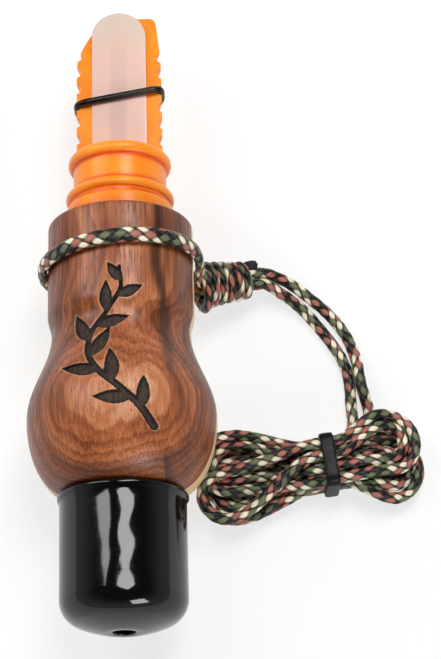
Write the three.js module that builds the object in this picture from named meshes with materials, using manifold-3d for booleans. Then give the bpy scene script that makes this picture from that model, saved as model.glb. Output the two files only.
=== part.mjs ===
// Elk call with a neck cord: a turned two-wood barrel, a vinyl end cap, a plastic collar with
// an open-reed toneboard, and a cord that is looped round the neck, knotted and tied in a hank.
//
// The call lies on its side. X is across it, Y runs along its axis from the cap to the reed,
// and Z is up. Z = 0 is the table, and the origin is under the middle of the call.
// Places along the axis are measured from the outer end of the cap.

import * as THREE from 'three';
import Module from 'manifold-3d';
import { mergeVertices } from 'three/addons/utils/BufferGeometryUtils.js';

const wasm = await Module();
wasm.setup();

// Driving dimensions, in millimetres

// End cap: a dipped vinyl cup with a small outlet in its end
const CAP_LENGTH = 29.8;
const CAP_RADIUS = 13.8;
const CAP_WALL = 1.7;
const CAP_END_WALL = 2.5;
const CAP_LIP = 0.5;
const CAP_LIP_HEIGHT = 1.6;
const CAP_FLAT_RADIUS = 4.2;
const CAP_DOME_RADIUS = 26;
const CAP_CORNER_RADIUS = 5.75;
const OUTLET_RADIUS = 2.45;

// Barrel: two woods glued on a flat seam, then turned
const CAP_TO_BULB = 17.2;
const BULB_RADIUS = 20.9;
const BULB_DEPTH = 10;
const BULB_EASE = 0.3;
const BULB_TO_WAIST = 19.6;
const WAIST_RADIUS = 15.55;
const WAIST_TO_NECK = 4.8;
const NECK_RADIUS = 16.45;
const NECK_LENGTH = 21.8;
const MOUTH_ROUND = 0.9;
const BARREL_BORE = 8;
const SPIGOT_LENGTH = 21.5;
const SEAM_RISE = 1.9;
const SEAM_ROLL = THREE.MathUtils.degToRad(3.7);
const SEAM_GAP = 0.1;

// Collar: heights are above the barrel's mouth
const FLANGE_RADIUS = 12.25;
const FLANGE_HEIGHT = 4.7;
const FLANGE_ROUND = 0.8;
const LOWER_BEAD_HEIGHT = 7;
const LOWER_BEAD_RADIUS = 12.4;
const LOWER_BEAD_THICKNESS = 2.5;
const GROOVE_RADIUS = 11.2;
const SHANK_RADIUS = 10.7;
const UPPER_BEAD_HEIGHT = 16;
const UPPER_BEAD_RADIUS = 11.9;
const UPPER_BEAD_THICKNESS = 3.1;
const SOCKET_RADIUS = 8;
const SOCKET_DEPTH = 14;
const THROAT_RADIUS = 6;
const TENON_RADIUS = 9.35;
const TENON_LENGTH = 22;
const RING_CORD = 1.8;
const RING_GROOVE_WIDTH = 2.2;
const RING_DEPTHS = [6, 16];

// Toneboard, reed, wedge and tuning band
const BOARD_RADIUS = 10;
const BOARD_LENGTH = 38.4;
const BOARD_FLAT = 0.4;
const BOARD_TIP_HALF_WIDTH = 8.6;
const BOARD_TIP_DEPTH = 5.2;
const BOARD_STRAIGHT = 20;
const BOARD_LEVEL = 16;
const SHOULDER_TURN = 0.3;
const SHOULDER_REACH = 8.4;
const SHOULDER_DROP = 1.6;
const FACING_START = 17;
const FACING_DROP = 1.3;
const TAIL_LENGTH = 13.5;
const CHANNEL_WIDTH = 3.5;
const CHANNEL_DEPTH = 3.6;
const CHANNEL_LENGTH = 30;
const NOTCH_COUNT = 6;
const NOTCH_START = 5.6;
const NOTCH_PITCH = 4.45;
const NOTCH_STAGGER = 0.8;
const NOTCH_RADIUS = 1.3;
const NOTCH_DEPTH = 0.9;
const REED_WIDTH = 12.8;
const REED_THICKNESS = 0.4;
const REED_OVERHANG = 0.8;
const REED_ROOT = 12.5;
const WEDGE_LENGTH = 11;
const BAND_THICKNESS = 1.5;
const BAND_CORNER = 1.6;
const BAND_LEFT_NOTCH = 2;
const BAND_RIGHT_NOTCH = 3;

// Clearances
const CAP_FIT = 0.1;
const SEAT = 0.1;
const TENON_FIT = 0.15;
const RING_FIT = 0.05;
const RING_SIDE_FIT = 0.1;
const SOCKET_FIT = 0.1;
const LIE = 0.05;
const BAND_FIT = 0.12;
const LOOP_FIT = 0.3;
const CORD_GAP = 0.3;
const TIE_FIT = 0.15;

// Neck cord
const CORD_DIAMETER = 2.6;
const LOOP_BELOW_MOUTH = 9.4;
const LOOP_WIDTH = 3.7;
const LOOP_THICKNESS = 1.9;
const LOOP_LEAN = 1.35;
const LOOP_STEPS = 36;
const UPPER_LEG_AT = THREE.MathUtils.degToRad(5);
const UPPER_LEG = 5.0;
const LOWER_LEG_AT = THREE.MathUtils.degToRad(-62);
const LOWER_LEG = 8.1;
const WOUND_TUBE = 1.9;
const KNOT_START = new THREE.Vector3(17.2, -0.9, 11.1);
const KNOT_END = new THREE.Vector3(30.2, 2.2, 6.9);
const KNOT_TURNS = 5;
const KNOT_START_RADIUS = 4.9;
const KNOT_END_RADIUS = 3.75;
const KNOT_PHASE = 0.25;
const KNOT_TUBE = 1.7;
const CORD_PITCH = 2.86;
const STRAND_STEPS = 16;

// Hank: a and b are places along and across it, from its middle
const HANK_MIDDLE = new THREE.Vector3(41.5, -44, 0);
const HANK_TURN = THREE.MathUtils.degToRad(7);
const HANK_RIGHT = 24.6;
const HANK_LEFT = 24.2;
const HANK_FOLD_RADIUS = 4.0;
const HANK_PITCH = 2.65;
const HANK_WAIST_PITCH = 2.75;
const HANK_LAYER = 2.6;
const HANK_LAYERS = 4;
const RUN_STEPS = 3;
const FOLD_STEPS = 5;
const HANK_SWAY = 2.8;
const HANK_LEFT_SHIFT = 0.6;
const CLIMB_START = -6;
const DROOP = 2.4;
const DROOP_START = 14;
const DROOP_REACH = 8;
const ENTRY_ANGLE = THREE.MathUtils.degToRad(60);
const ENTRY_LEG = 3.4;
const ENTRY_CORNERS = [10.4, 8.8];
const TIE_PLACE = 4.3;
const TIE_WIDTH = 3.5;
const TIE_THICKNESS = 0.7;
const TIE_LIFT = 0.9;
const TIE_LIFT_REACH = 6;
const BIGHT_RADIUS = 5.3;
const BIGHT_A = -19.9;
const BIGHT_B = -4.4;
const BIGHT_EDGE = -7.6;
const BIGHT_DROOP = 0.6;

const TURNED_SEGMENTS = 48;
const TWO_PI = Math.PI * 2;

// Places along the axis, from the outer end of the cap
const bulbAt = CAP_LENGTH + CAP_TO_BULB;
const waistAt = bulbAt + BULB_TO_WAIST;
const neckAt = waistAt + WAIST_TO_NECK;
const mouthAt = neckAt + NECK_LENGTH;
const collarTop = mouthAt + UPPER_BEAD_HEIGHT + UPPER_BEAD_THICKNESS / 2;
const boardTip = collarTop + BOARD_LENGTH;
const reedTip = boardTip + REED_OVERHANG;
const loopAt = mouthAt - LOOP_BELOW_MOUTH;
const spigotEnd = CAP_LENGTH - SPIGOT_LENGTH;
const spigotRadius = CAP_RADIUS - CAP_WALL - CAP_FIT;
const tenonEnd = mouthAt - TENON_LENGTH;
const counterbore = TENON_RADIUS + TENON_FIT;

// Place of a notch on the right (side 1) or left (side -1), from the collar's top
function notchPlace(side, index) {
  return NOTCH_START + index * NOTCH_PITCH - (side > 0 ? NOTCH_STAGGER : 0);
}

function smooth(t) {
  const u = Math.min(Math.max(t, 0), 1);
  return (1 - Math.cos(Math.PI * u)) / 2;
}

// Points of an arc in the (radius, along) plane, from one angle to another
function arc(centreR, centreY, radius, from, to, steps) {
  const points = [];
  for (let i = 0; i <= steps; i += 1) {
    const angle = from + ((to - from) * i) / steps;
    points.push([centreR + radius * Math.cos(angle), centreY + radius * Math.sin(angle)]);
  }
  return points;
}

// A ring-shaped solid: a closed (radius, along) outline turned about the axis
function turned(outline) {
  const points = [...outline, outline[0]].map(([r, y]) => new THREE.Vector2(r, y));
  return new THREE.LatheGeometry(points, TURNED_SEGMENTS);
}

function toSolid(geometry) {
  const bare = geometry.clone();
  bare.deleteAttribute('normal');
  bare.deleteAttribute('uv');
  const merged = mergeVertices(bare, 1e-4);
  const vertProperties = new Float32Array(merged.attributes.position.array);
  const triVerts = new Uint32Array(merged.index.array);
  return new wasm.Manifold(new wasm.Mesh({ numProp: 3, vertProperties, triVerts }));
}

function toGeometry(solid) {
  const mesh = solid.getMesh();
  const geometry = new THREE.BufferGeometry();
  geometry.setAttribute('position', new THREE.BufferAttribute(mesh.vertProperties, 3));
  geometry.setIndex(new THREE.BufferAttribute(mesh.triVerts, 1));
  return geometry;
}

// A prism along the axis, whose outline is drawn across (x) and up (y)
function prismAlong(shape, from, to) {
  const depth = to - from;
  const geometry = new THREE.ExtrudeGeometry(shape, { depth, bevelEnabled: false, curveSegments: 10 });
  geometry.rotateX(Math.PI / 2);
  geometry.translate(0, to, 0);
  return geometry;
}

// A flat plate, whose outline is seen from above
function plate(shape, bottom, depth) {
  const geometry = new THREE.ExtrudeGeometry(shape, { depth, bevelEnabled: false, curveSegments: 12 });
  geometry.translate(0, 0, bottom);
  return geometry;
}

// A skin over rings of points, with a flat end at each end, or closed on itself
function skin(rings, closed = false) {
  const sides = rings[0].length;
  const position = rings.flat().flatMap((point) => [point.x, point.y, point.z]);
  const index = [];
  const bands = closed ? rings.length : rings.length - 1;
  for (let i = 0; i < bands; i += 1) {
    const next = (i + 1) % rings.length;
    for (let j = 0; j < sides; j += 1) {
      const k = (j + 1) % sides;
      index.push(i * sides + j, i * sides + k, next * sides + j);
      index.push(i * sides + k, next * sides + k, next * sides + j);
    }
  }
  if (!closed) {
    const last = (rings.length - 1) * sides;
    for (let j = 1; j < sides - 1; j += 1) {
      index.push(0, j + 1, j);
      index.push(last, last + j, last + j + 1);
    }
  }
  const geometry = new THREE.BufferGeometry();
  geometry.setAttribute('position', new THREE.Float32BufferAttribute(position, 3));
  geometry.setIndex(index);
  return geometry;
}

// A tube along points. outwardAt gives the side of the section that is `thick` across.
function tube(points, outwardAt, width, thick, sides, closed = false) {
  const count = points.length;
  const rings = points.map((point, i) => {
    const before = closed ? points[(i + count - 1) % count] : points[Math.max(i - 1, 0)];
    const after = closed ? points[(i + 1) % count] : points[Math.min(i + 1, count - 1)];
    const along = after.clone().sub(before).normalize();
    const outward = outwardAt(point, i);
    outward.addScaledVector(along, -outward.dot(along)).normalize();
    const across = along.clone().cross(outward);
    const ring = [];
    for (let j = 0; j < sides; j += 1) {
      const angle = (TWO_PI * (j + 0.5)) / sides;
      ring.push(point.clone()
        .addScaledVector(outward, (Math.cos(angle) * thick) / 2)
        .addScaledVector(across, (Math.sin(angle) * width) / 2));
    }
    return ring;
  });
  return skin(rings, closed);
}

// Barrel

function barrelRadius(y) {
  if (y < bulbAt) {
    const reach = (bulbAt - y) / (CAP_TO_BULB + BULB_EASE);
    return BULB_RADIUS - BULB_DEPTH * (1 - Math.sqrt(1 - reach * reach));
  }
  if (y < waistAt) {
    return BULB_RADIUS + (WAIST_RADIUS - BULB_RADIUS) * smooth((y - bulbAt) / BULB_TO_WAIST);
  }
  return WAIST_RADIUS + (NECK_RADIUS - WAIST_RADIUS) * smooth((y - waistAt) / WAIST_TO_NECK);
}

function barrelOutline() {
  const shoulder = CAP_LENGTH + SEAT;
  const profile = [];
  for (let i = 0; i <= 9; i += 1) {
    const y = shoulder + (bulbAt - shoulder) * Math.sin((Math.PI / 2) * (i / 9));
    profile.push([barrelRadius(y), y]);
  }
  for (let i = 1; i <= 9; i += 1) {
    const y = bulbAt + (BULB_TO_WAIST * i) / 9;
    profile.push([barrelRadius(y), y]);
  }
  for (let i = 1; i <= 3; i += 1) {
    const y = waistAt + (WAIST_TO_NECK * i) / 3;
    profile.push([barrelRadius(y), y]);
  }
  return [
    [BARREL_BORE, spigotEnd],
    [spigotRadius, spigotEnd],
    [spigotRadius, shoulder],
    ...profile,
    ...arc(NECK_RADIUS - MOUTH_ROUND, mouthAt - MOUTH_ROUND, MOUTH_ROUND, 0, Math.PI / 2, 3),
    [counterbore, mouthAt],
    [counterbore, tenonEnd - SEAT],
    [BARREL_BORE, tenonEnd - SEAT],
  ];
}

// One stave: the turned barrel on one side (1 above, -1 below) of the rolled seam plane
function stave(side) {
  const reach = mouthAt + BULB_RADIUS;
  const half = new THREE.BoxGeometry(reach, 2 * reach, reach);
  half.translate(0, 0, (side * (reach + SEAM_GAP)) / 2);
  half.rotateY(-SEAM_ROLL);
  half.translate(0, 0, SEAM_RISE);
  return toGeometry(toSolid(turned(barrelOutline())).intersect(toSolid(half)));
}

// End cap

function endCap() {
  const flatDrop = CAP_DOME_RADIUS - Math.sqrt(CAP_DOME_RADIUS ** 2 - CAP_FLAT_RADIUS ** 2);
  const domeCentre = CAP_DOME_RADIUS - flatDrop;
  const cornerR = CAP_RADIUS - CAP_CORNER_RADIUS;
  const cornerY = domeCentre - Math.sqrt((CAP_DOME_RADIUS - CAP_CORNER_RADIUS) ** 2 - cornerR ** 2);
  const domeStart = -Math.PI / 2 + Math.asin(CAP_FLAT_RADIUS / CAP_DOME_RADIUS);
  const domeEnd = -Math.PI / 2 + Math.atan2(cornerR, domeCentre - cornerY);
  const inner = CAP_RADIUS - CAP_WALL;
  return turned([
    [OUTLET_RADIUS, 0],
    ...arc(0, domeCentre, CAP_DOME_RADIUS, domeStart, domeEnd, 2),
    ...arc(cornerR, cornerY, CAP_CORNER_RADIUS, domeEnd, 0, 5).slice(1),
    [CAP_RADIUS, CAP_LENGTH - CAP_LIP_HEIGHT],
    [CAP_RADIUS + CAP_LIP, CAP_LENGTH - CAP_LIP_HEIGHT / 2],
    [CAP_RADIUS + CAP_LIP, CAP_LENGTH],
    [inner, CAP_LENGTH],
    ...arc(cornerR, cornerY, CAP_CORNER_RADIUS - CAP_WALL, 0, -Math.PI / 2, 4),
    [OUTLET_RADIUS, CAP_END_WALL],
  ]);
}

// Collar

function beadArc(height, radius, thickness, steps) {
  const round = thickness / 2;
  return arc(radius - round, mouthAt + height, round, -Math.PI / 2, Math.PI / 2, steps);
}

const ringGrooveFloor = counterbore - RING_FIT - RING_CORD - RING_SIDE_FIT;

function ringGroove(depth) {
  const middle = mouthAt - depth;
  const half = RING_GROOVE_WIDTH / 2;
  return [
    [TENON_RADIUS, middle - half],
    [ringGrooveFloor, middle - half],
    [ringGrooveFloor, middle + half],
    [TENON_RADIUS, middle + half],
  ];
}

function collar() {
  const seatY = mouthAt + SEAT;
  const flangeTop = mouthAt + FLANGE_HEIGHT;
  const grooves = [...RING_DEPTHS].sort((a, b) => b - a).flatMap(ringGroove);
  return turned([
    [THROAT_RADIUS, tenonEnd],
    [TENON_RADIUS, tenonEnd],
    ...grooves,
    [TENON_RADIUS, seatY],
    [FLANGE_RADIUS, seatY],
    ...arc(FLANGE_RADIUS - FLANGE_ROUND, flangeTop - FLANGE_ROUND, FLANGE_ROUND, 0, Math.PI / 2, 2),
    [GROOVE_RADIUS, flangeTop],
    ...beadArc(LOWER_BEAD_HEIGHT, LOWER_BEAD_RADIUS, LOWER_BEAD_THICKNESS, 5),
    [SHANK_RADIUS, mouthAt + LOWER_BEAD_HEIGHT + LOWER_BEAD_THICKNESS / 2],
    [SHANK_RADIUS, mouthAt + UPPER_BEAD_HEIGHT - UPPER_BEAD_THICKNESS / 2],
    ...beadArc(UPPER_BEAD_HEIGHT, UPPER_BEAD_RADIUS, UPPER_BEAD_THICKNESS, 6).slice(1),
    [SOCKET_RADIUS, collarTop],
    [SOCKET_RADIUS, collarTop - SOCKET_DEPTH],
    [THROAT_RADIUS, collarTop - SOCKET_DEPTH],
  ]);
}

function sealRing(depth) {
  const round = RING_CORD / 2;
  const outline = arc(counterbore - RING_FIT - round, mouthAt - depth, round, 0, TWO_PI, 8);
  return turned(outline.slice(0, -1));
}

// Toneboard

// Outline, across and up, of what a round bore of the given radius holds below a level
function segmentBelow(radius, level) {
  const angle = Math.asin(level / radius);
  const shape = new THREE.Shape();
  shape.moveTo(-radius * Math.cos(angle), level);
  shape.absarc(0, 0, radius, Math.PI - angle, angle, false);
  shape.closePath();
  return shape;
}

function segmentAbove(radius, level) {
  const angle = Math.asin(level / radius);
  const shape = new THREE.Shape();
  shape.moveTo(radius * Math.cos(angle), level);
  shape.absarc(0, 0, radius, angle, Math.PI - angle, false);
  shape.closePath();
  return shape;
}

function boardHalfWidth(t) {
  const taper = Math.max(t - BOARD_STRAIGHT, 0) / (BOARD_LENGTH - BOARD_STRAIGHT);
  return BOARD_RADIUS + (BOARD_TIP_HALF_WIDTH - BOARD_RADIUS) * taper * taper;
}

function boardDepth(t) {
  const rise = smooth((t - BOARD_LEVEL) / (BOARD_LENGTH - BOARD_LEVEL));
  return BOARD_RADIUS + (BOARD_TIP_DEPTH - BOARD_RADIUS) * rise;
}

function facingDrop(t) {
  const bend = Math.max(t - FACING_START, 0) / (BOARD_LENGTH - FACING_START);
  return FACING_DROP * bend * bend;
}

// The half-round body: each section is the lower half of an oval, cut flat by the facing
function boardBody() {
  const steps = 14;
  const sides = 14;
  const rings = [];
  for (let i = 0; i <= steps; i += 1) {
    const t = (BOARD_LENGTH * i) / steps;
    const start = Math.asin(facingDrop(t) / boardDepth(t));
    const ring = [];
    for (let j = 0; j <= sides; j += 1) {
      const angle = start + ((Math.PI - 2 * start) * j) / sides;
      const x = boardHalfWidth(t) * Math.cos(angle);
      const z = BOARD_FLAT - boardDepth(t) * Math.sin(angle);
      ring.push(new THREE.Vector3(x, collarTop + SEAT + t, z));
    }
    rings.push(ring);
  }
  return toSolid(skin(rings));
}

// Seen from above, the tip is square on one corner and follows the reed's round on the other, with
// a bowed shoulder below it
function boardPlan() {
  const round = REED_WIDTH / 2 - LIE;
  const centre = reedTip - REED_WIDTH / 2;
  const square = boardTip + SEAT;
  const meet = Math.asin(Math.min((square - centre) / round, 1));
  const wide = 2 * BOARD_RADIUS;
  const shape = new THREE.Shape();
  shape.moveTo(-wide, collarTop - TAIL_LENGTH - wide);
  shape.lineTo(wide, collarTop - TAIL_LENGTH - wide);
  shape.lineTo(wide, square);
  shape.lineTo(round * Math.cos(meet), square);
  shape.absarc(0, centre, round, meet, Math.PI - SHOULDER_TURN, false);
  shape.quadraticCurveTo(-SHOULDER_REACH, centre - SHOULDER_DROP, -BOARD_RADIUS, centre - round);
  shape.lineTo(-wide, centre - round);
  shape.closePath();
  return plate(shape, -2 * BOARD_RADIUS, 4 * BOARD_RADIUS);
}

function notchCutter(side, index) {
  const t = notchPlace(side, index);
  const cutter = new THREE.CylinderGeometry(NOTCH_RADIUS, NOTCH_RADIUS, 3 * BOARD_RADIUS, 12);
  cutter.rotateX(Math.PI / 2);
  cutter.translate(side * (boardHalfWidth(t) - NOTCH_DEPTH + NOTCH_RADIUS), collarTop + t, 0);
  return toSolid(cutter);
}

function toneboard() {
  const tail = toSolid(prismAlong(
    segmentBelow(SOCKET_RADIUS - SOCKET_FIT, BOARD_FLAT),
    collarTop - TAIL_LENGTH,
    collarTop + 2 * SEAT,
  ));
  const length = TAIL_LENGTH + CHANNEL_LENGTH;
  const channel = new THREE.BoxGeometry(CHANNEL_WIDTH, 2 * length, 2 * CHANNEL_DEPTH);
  channel.translate(0, collarTop + CHANNEL_LENGTH - length, BOARD_FLAT);
  let board = boardBody().add(tail).intersect(toSolid(boardPlan())).subtract(toSolid(channel));
  for (let i = 0; i < NOTCH_COUNT; i += 1) {
    board = board.subtract(notchCutter(1, i)).subtract(notchCutter(-1, i));
  }
  return toGeometry(board);
}

function reed() {
  const half = REED_WIDTH / 2;
  const shape = new THREE.Shape();
  shape.moveTo(-half, collarTop - REED_ROOT);
  shape.lineTo(half, collarTop - REED_ROOT);
  shape.lineTo(half, reedTip - half);
  shape.absarc(0, reedTip - half, half, 0, Math.PI, false);
  shape.closePath();
  return plate(shape, BOARD_FLAT + LIE, REED_THICKNESS);
}

function reedWedge() {
  const level = BOARD_FLAT + REED_THICKNESS + 2 * LIE;
  const top = collarTop - SEAT;
  return prismAlong(segmentAbove(SOCKET_RADIUS - SOCKET_FIT, level), top - WEDGE_LENGTH, top);
}

// A closed band, seated in a left notch and in the next right one, round the board and the reed.
// It keeps to the board's oval, and cuts straight down past the notches.
function tuningBand() {
  const grow = BAND_THICKNESS / 2 + BAND_FIT;
  const half = BOARD_RADIUS - NOTCH_DEPTH + grow;
  const top = BOARD_FLAT + LIE + REED_THICKNESS + grow;
  const leftT = notchPlace(-1, BAND_LEFT_NOTCH);
  const rightT = notchPlace(1, BAND_RIGHT_NOTCH);
  const tAt = (x) => leftT + ((rightT - leftT) * (x + half)) / (2 * half);
  const outline = [];
  for (let i = 0; i <= 4; i += 1) {
    outline.push([(half - BAND_CORNER) * (i / 2 - 1), top]);
  }
  outline.push([half - BAND_CORNER / 4, top - BAND_CORNER / 3]);
  for (let j = 0; j <= 14; j += 1) {
    const angle = (Math.PI * j) / 14;
    const x = THREE.MathUtils.clamp((BOARD_RADIUS + grow) * Math.cos(angle), -half, half);
    outline.push([x, BOARD_FLAT - (boardDepth(tAt(x)) + grow) * Math.sin(angle)]);
  }
  outline.push([-half + BAND_CORNER / 4, top - BAND_CORNER / 3]);
  const path = outline.map(([x, z]) => new THREE.Vector3(x, collarTop + tAt(x), z));
  const middle = -BOARD_RADIUS / 3;
  const outwardAt = (point) => new THREE.Vector3(point.x, 0, point.z - middle);
  return tube(path, outwardAt, BAND_THICKNESS, BAND_THICKNESS, 8, true);
}

// Neck cord. Its places are across, along from the loop, and up from the table.

// Least gap that a tube along a path leaves to itself, measured on points of the path
function printLeastGap(name, path, diameter) {
  const points = [];
  const places = [];
  let along = 0;
  for (let i = 0; i + 1 < path.length; i += 1) {
    const step = path[i].distanceTo(path[i + 1]);
    for (let k = 0; k < 4; k += 1) {
      points.push(path[i].clone().lerp(path[i + 1], k / 4));
      places.push(along + (step * k) / 4);
    }
    along += step;
  }
  let least = Infinity;
  for (let i = 0; i < points.length; i += 1) {
    for (let j = i + 1; j < points.length; j += 1) {
      if (places[j] - places[i] > 3.5 * diameter) {
        least = Math.min(least, points[i].distanceTo(points[j]) - diameter);
      }
    }
  }
  console.log(`${name}: ${along.toFixed(0)} mm of cord, least gap to itself ${least.toFixed(2)} mm`);
}

// The flattened cord round the neck, whose two legs run straight off it to the knot
function neckLoop() {
  const radius = NECK_RADIUS + LOOP_FIT + LOOP_THICKNESS / 2;
  const round = (angle) => new THREE.Vector3(
    radius * Math.cos(angle),
    LOOP_LEAN * Math.cos(angle),
    BULB_RADIUS + radius * Math.sin(angle),
  );
  const forward = (angle) => new THREE.Vector3(-Math.sin(angle), 0, Math.cos(angle));
  const last = LOWER_LEG_AT + TWO_PI;
  const points = [round(UPPER_LEG_AT).addScaledVector(forward(UPPER_LEG_AT), -UPPER_LEG)];
  for (let i = 0; i <= LOOP_STEPS; i += 1) {
    points.push(round(UPPER_LEG_AT + ((last - UPPER_LEG_AT) * i) / LOOP_STEPS));
  }
  points.push(round(last).addScaledVector(forward(last), LOWER_LEG));
  const outwardAt = (point, i) => {
    const step = THREE.MathUtils.clamp(i - 1, 0, LOOP_STEPS);
    const angle = UPPER_LEG_AT + ((last - UPPER_LEG_AT) * step) / LOOP_STEPS;
    return new THREE.Vector3(Math.cos(angle), 0, Math.sin(angle));
  };
  return tube(points, outwardAt, LOOP_WIDTH, LOOP_THICKNESS, 8);
}

const knotLength = KNOT_END.distanceTo(KNOT_START);
const knotAxis = KNOT_END.clone().sub(KNOT_START).normalize();
const knotSide = new THREE.Vector3(0, 0, 1).cross(knotAxis).normalize();
const knotUp = knotAxis.clone().cross(knotSide);

function knotPoint(along, radius, angle) {
  return KNOT_START.clone()
    .addScaledVector(knotAxis, along)
    .addScaledVector(knotSide, radius * Math.cos(angle))
    .addScaledVector(knotUp, radius * Math.sin(angle));
}

// The wraps: one tube wound round the knot's axis, drawn in towards the free strands
function knotWraps() {
  const steps = KNOT_TURNS * 24;
  const points = [];
  for (let i = 0; i <= steps; i += 1) {
    const t = i / steps;
    const along = KNOT_TUBE / 2 + (knotLength - KNOT_TUBE) * t;
    const radius = KNOT_START_RADIUS + (KNOT_END_RADIUS - KNOT_START_RADIUS) * t;
    points.push(knotPoint(along, radius, TWO_PI * (KNOT_TURNS * t + KNOT_PHASE)));
  }
  const start = points[0].clone().sub(points[1]).setLength(KNOT_TUBE).add(points[0]);
  const end = points[steps].clone().sub(points[steps - 1]).setLength(KNOT_TUBE).add(points[steps]);
  const path = [start, ...points, end];
  printLeastGap('Knot wraps', path, KNOT_TUBE);
  const outwardAt = (point) => {
    const from = point.clone().sub(KNOT_START);
    return from.addScaledVector(knotAxis, -from.dot(knotAxis));
  };
  return tube(path, outwardAt, KNOT_TUBE, KNOT_TUBE, 6);
}

// The cord's two legs where they pass through the wraps, as one tapered core
function knotCore() {
  const ring = (along, wraps) => {
    const points = [];
    for (let j = 0; j < 12; j += 1) {
      points.push(knotPoint(along, wraps - KNOT_TUBE / 2 - CORD_GAP, (TWO_PI * j) / 12));
    }
    return points;
  };
  return skin([ring(0, KNOT_START_RADIUS), ring(knotLength, KNOT_END_RADIUS)]);
}

// Routes of the two free strands from the knot to the hank
const STRAND_UPPER = [
  [38.0, 2.6, 4.3],
  [43.7, -1.2, 2.4],
  [47.8, -4.8, 1.5],
  [50.9, -9.0, 1.35],
  [52.8, -13.2, 1.6],
  [53.9, -17.8, 2.4],
  [54.3, -22.4, 3.0],
  [55.3, -26.8, 2.5],
  [56.1, -30.2, 1.5],
];
const STRAND_LOWER = [
  [36.3, 0.0, 4.1],
  [40.4, -2.5, 2.4],
  [43.8, -6.0, 1.5],
  [46.3, -9.3, 1.35],
  [49.0, -13.4, 1.35],
  [51.1, -17.9, 1.35],
  [52.0, -22.6, 1.35],
  [52.0, -26.6, 1.35],
];

// A strand leaves the knot square to its face, and meets the hank square to its cord
function strand(side, route, nest) {
  const exit = knotPoint(knotLength + CORD_GAP, (side * CORD_PITCH) / 2, 0);
  const [end, before] = entryPoints(nest).map(fromHank);
  const out = end.clone().sub(before).normalize();
  const points = [
    exit,
    exit.clone().addScaledVector(knotAxis, CORD_DIAMETER),
    ...route.map(([x, y, z]) => new THREE.Vector3(x, y, z)),
    end.clone().addScaledVector(out, CORD_GAP + CORD_DIAMETER),
    end.clone().addScaledVector(out, CORD_GAP),
  ];
  const outline = new THREE.Shape();
  for (let j = 0; j < 8; j += 1) {
    const angle = (Math.PI * (j + 0.5)) / 4;
    const radius = CORD_DIAMETER / 2;
    outline[j === 0 ? 'moveTo' : 'lineTo'](radius * Math.cos(angle), radius * Math.sin(angle));
  }
  outline.closePath();
  const extrudePath = new THREE.CatmullRomCurve3(points);
  return new THREE.ExtrudeGeometry(outline, { steps: STRAND_STEPS, bevelEnabled: false, extrudePath });
}

// Hank. The cord is doubled: an inner and an outer strand (nest 0 and 1) lie side by side,
// go round one loop a layer, and join in a bight that lies on the last layer.

const foldOuter = HANK_FOLD_RADIUS + HANK_PITCH;
const rightCentre = HANK_RIGHT - foldOuter;
const leftCentre = foldOuter - HANK_LEFT;

function fromHank(point) {
  return point.clone().applyAxisAngle(new THREE.Vector3(0, 0, 1), HANK_TURN).add(HANK_MIDDLE);
}

function beyondTie(a) {
  return Math.max(Math.abs(a - TIE_PLACE) - TIE_WIDTH / 2, 0);
}

// The layers lie on each other, are lifted by the tie, and droop to the table at the right
function hankPoint(a, b, level) {
  const lift = TIE_LIFT * Math.exp(-((beyondTie(a) / TIE_LIFT_REACH) ** 2));
  const droop = DROOP * smooth((a - DROOP_START) / DROOP_REACH);
  const hang = BIGHT_DROOP * Math.max(0, BIGHT_EDGE - b);
  return new THREE.Vector3(a, b, CORD_DIAMETER / 2 + level * HANK_LAYER + lift - droop - hang);
}

function waistHalf(nest) {
  return HANK_WAIST_PITCH * (nest + 0.5);
}

function foldRadius(nest) {
  return HANK_FOLD_RADIUS + HANK_PITCH * nest;
}

// Places along a run, from right to left, with one wide step through the tie
function runPlaces(right, left) {
  const places = [];
  for (let i = 0; i <= RUN_STEPS; i += 1) {
    places.push(THREE.MathUtils.lerp(right, TIE_PLACE + TIE_WIDTH / 2, i / RUN_STEPS));
  }
  for (let i = 0; i <= RUN_STEPS; i += 1) {
    places.push(THREE.MathUtils.lerp(TIE_PLACE - TIE_WIDTH / 2, left, i / RUN_STEPS));
  }
  return places;
}

// A run is drawn in to the waist at the tie, and spreads to the fold that it comes from or goes to
function runPoint(nest, a, side, shift, level) {
  const spread = smooth(beyondTie(a) / beyondTie(a > TIE_PLACE ? rightCentre : leftCentre));
  const half = waistHalf(nest) + (foldRadius(nest) - waistHalf(nest)) * spread;
  return hankPoint(a, side * half + shift * spread, level);
}

// A fold turns by half a circle, to the right (side 1) or the left (side -1)
function foldPoints(nest, side, shift, level) {
  const centre = side > 0 ? rightCentre : leftCentre;
  const points = [];
  for (let i = 1; i < FOLD_STEPS; i += 1) {
    const turn = (Math.PI * i) / FOLD_STEPS;
    const across = foldRadius(nest) * Math.cos(turn);
    points.push(hankPoint(centre + side * foldRadius(nest) * Math.sin(turn), shift - side * across, level));
  }
  return points;
}

// The curve by which a strand comes in from outside and joins its first run
function entryPoints(nest) {
  const corner = new THREE.Vector2(ENTRY_CORNERS[nest], waistHalf(nest));
  const out = new THREE.Vector2(Math.cos(ENTRY_ANGLE), Math.sin(ENTRY_ANGLE));
  const curve = new THREE.QuadraticBezierCurve(
    corner.clone().addScaledVector(out, ENTRY_LEG),
    corner,
    new THREE.Vector2(corner.x - ENTRY_LEG, corner.y),
  );
  const points = curve.getPoints(4);
  return [points[0].clone().addScaledVector(out, CORD_DIAMETER), ...points]
    .map((point) => hankPoint(point.x, point.y, 0));
}

// The last run crosses from the waist to its side of the bight
function crossingPoint(nest, a, level) {
  const goal = BIGHT_B + (nest === 1 ? BIGHT_RADIUS : -BIGHT_RADIUS);
  const share = smooth(beyondTie(a) / beyondTie(BIGHT_A));
  return hankPoint(a, waistHalf(nest) + (goal - waistHalf(nest)) * share, level);
}

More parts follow.
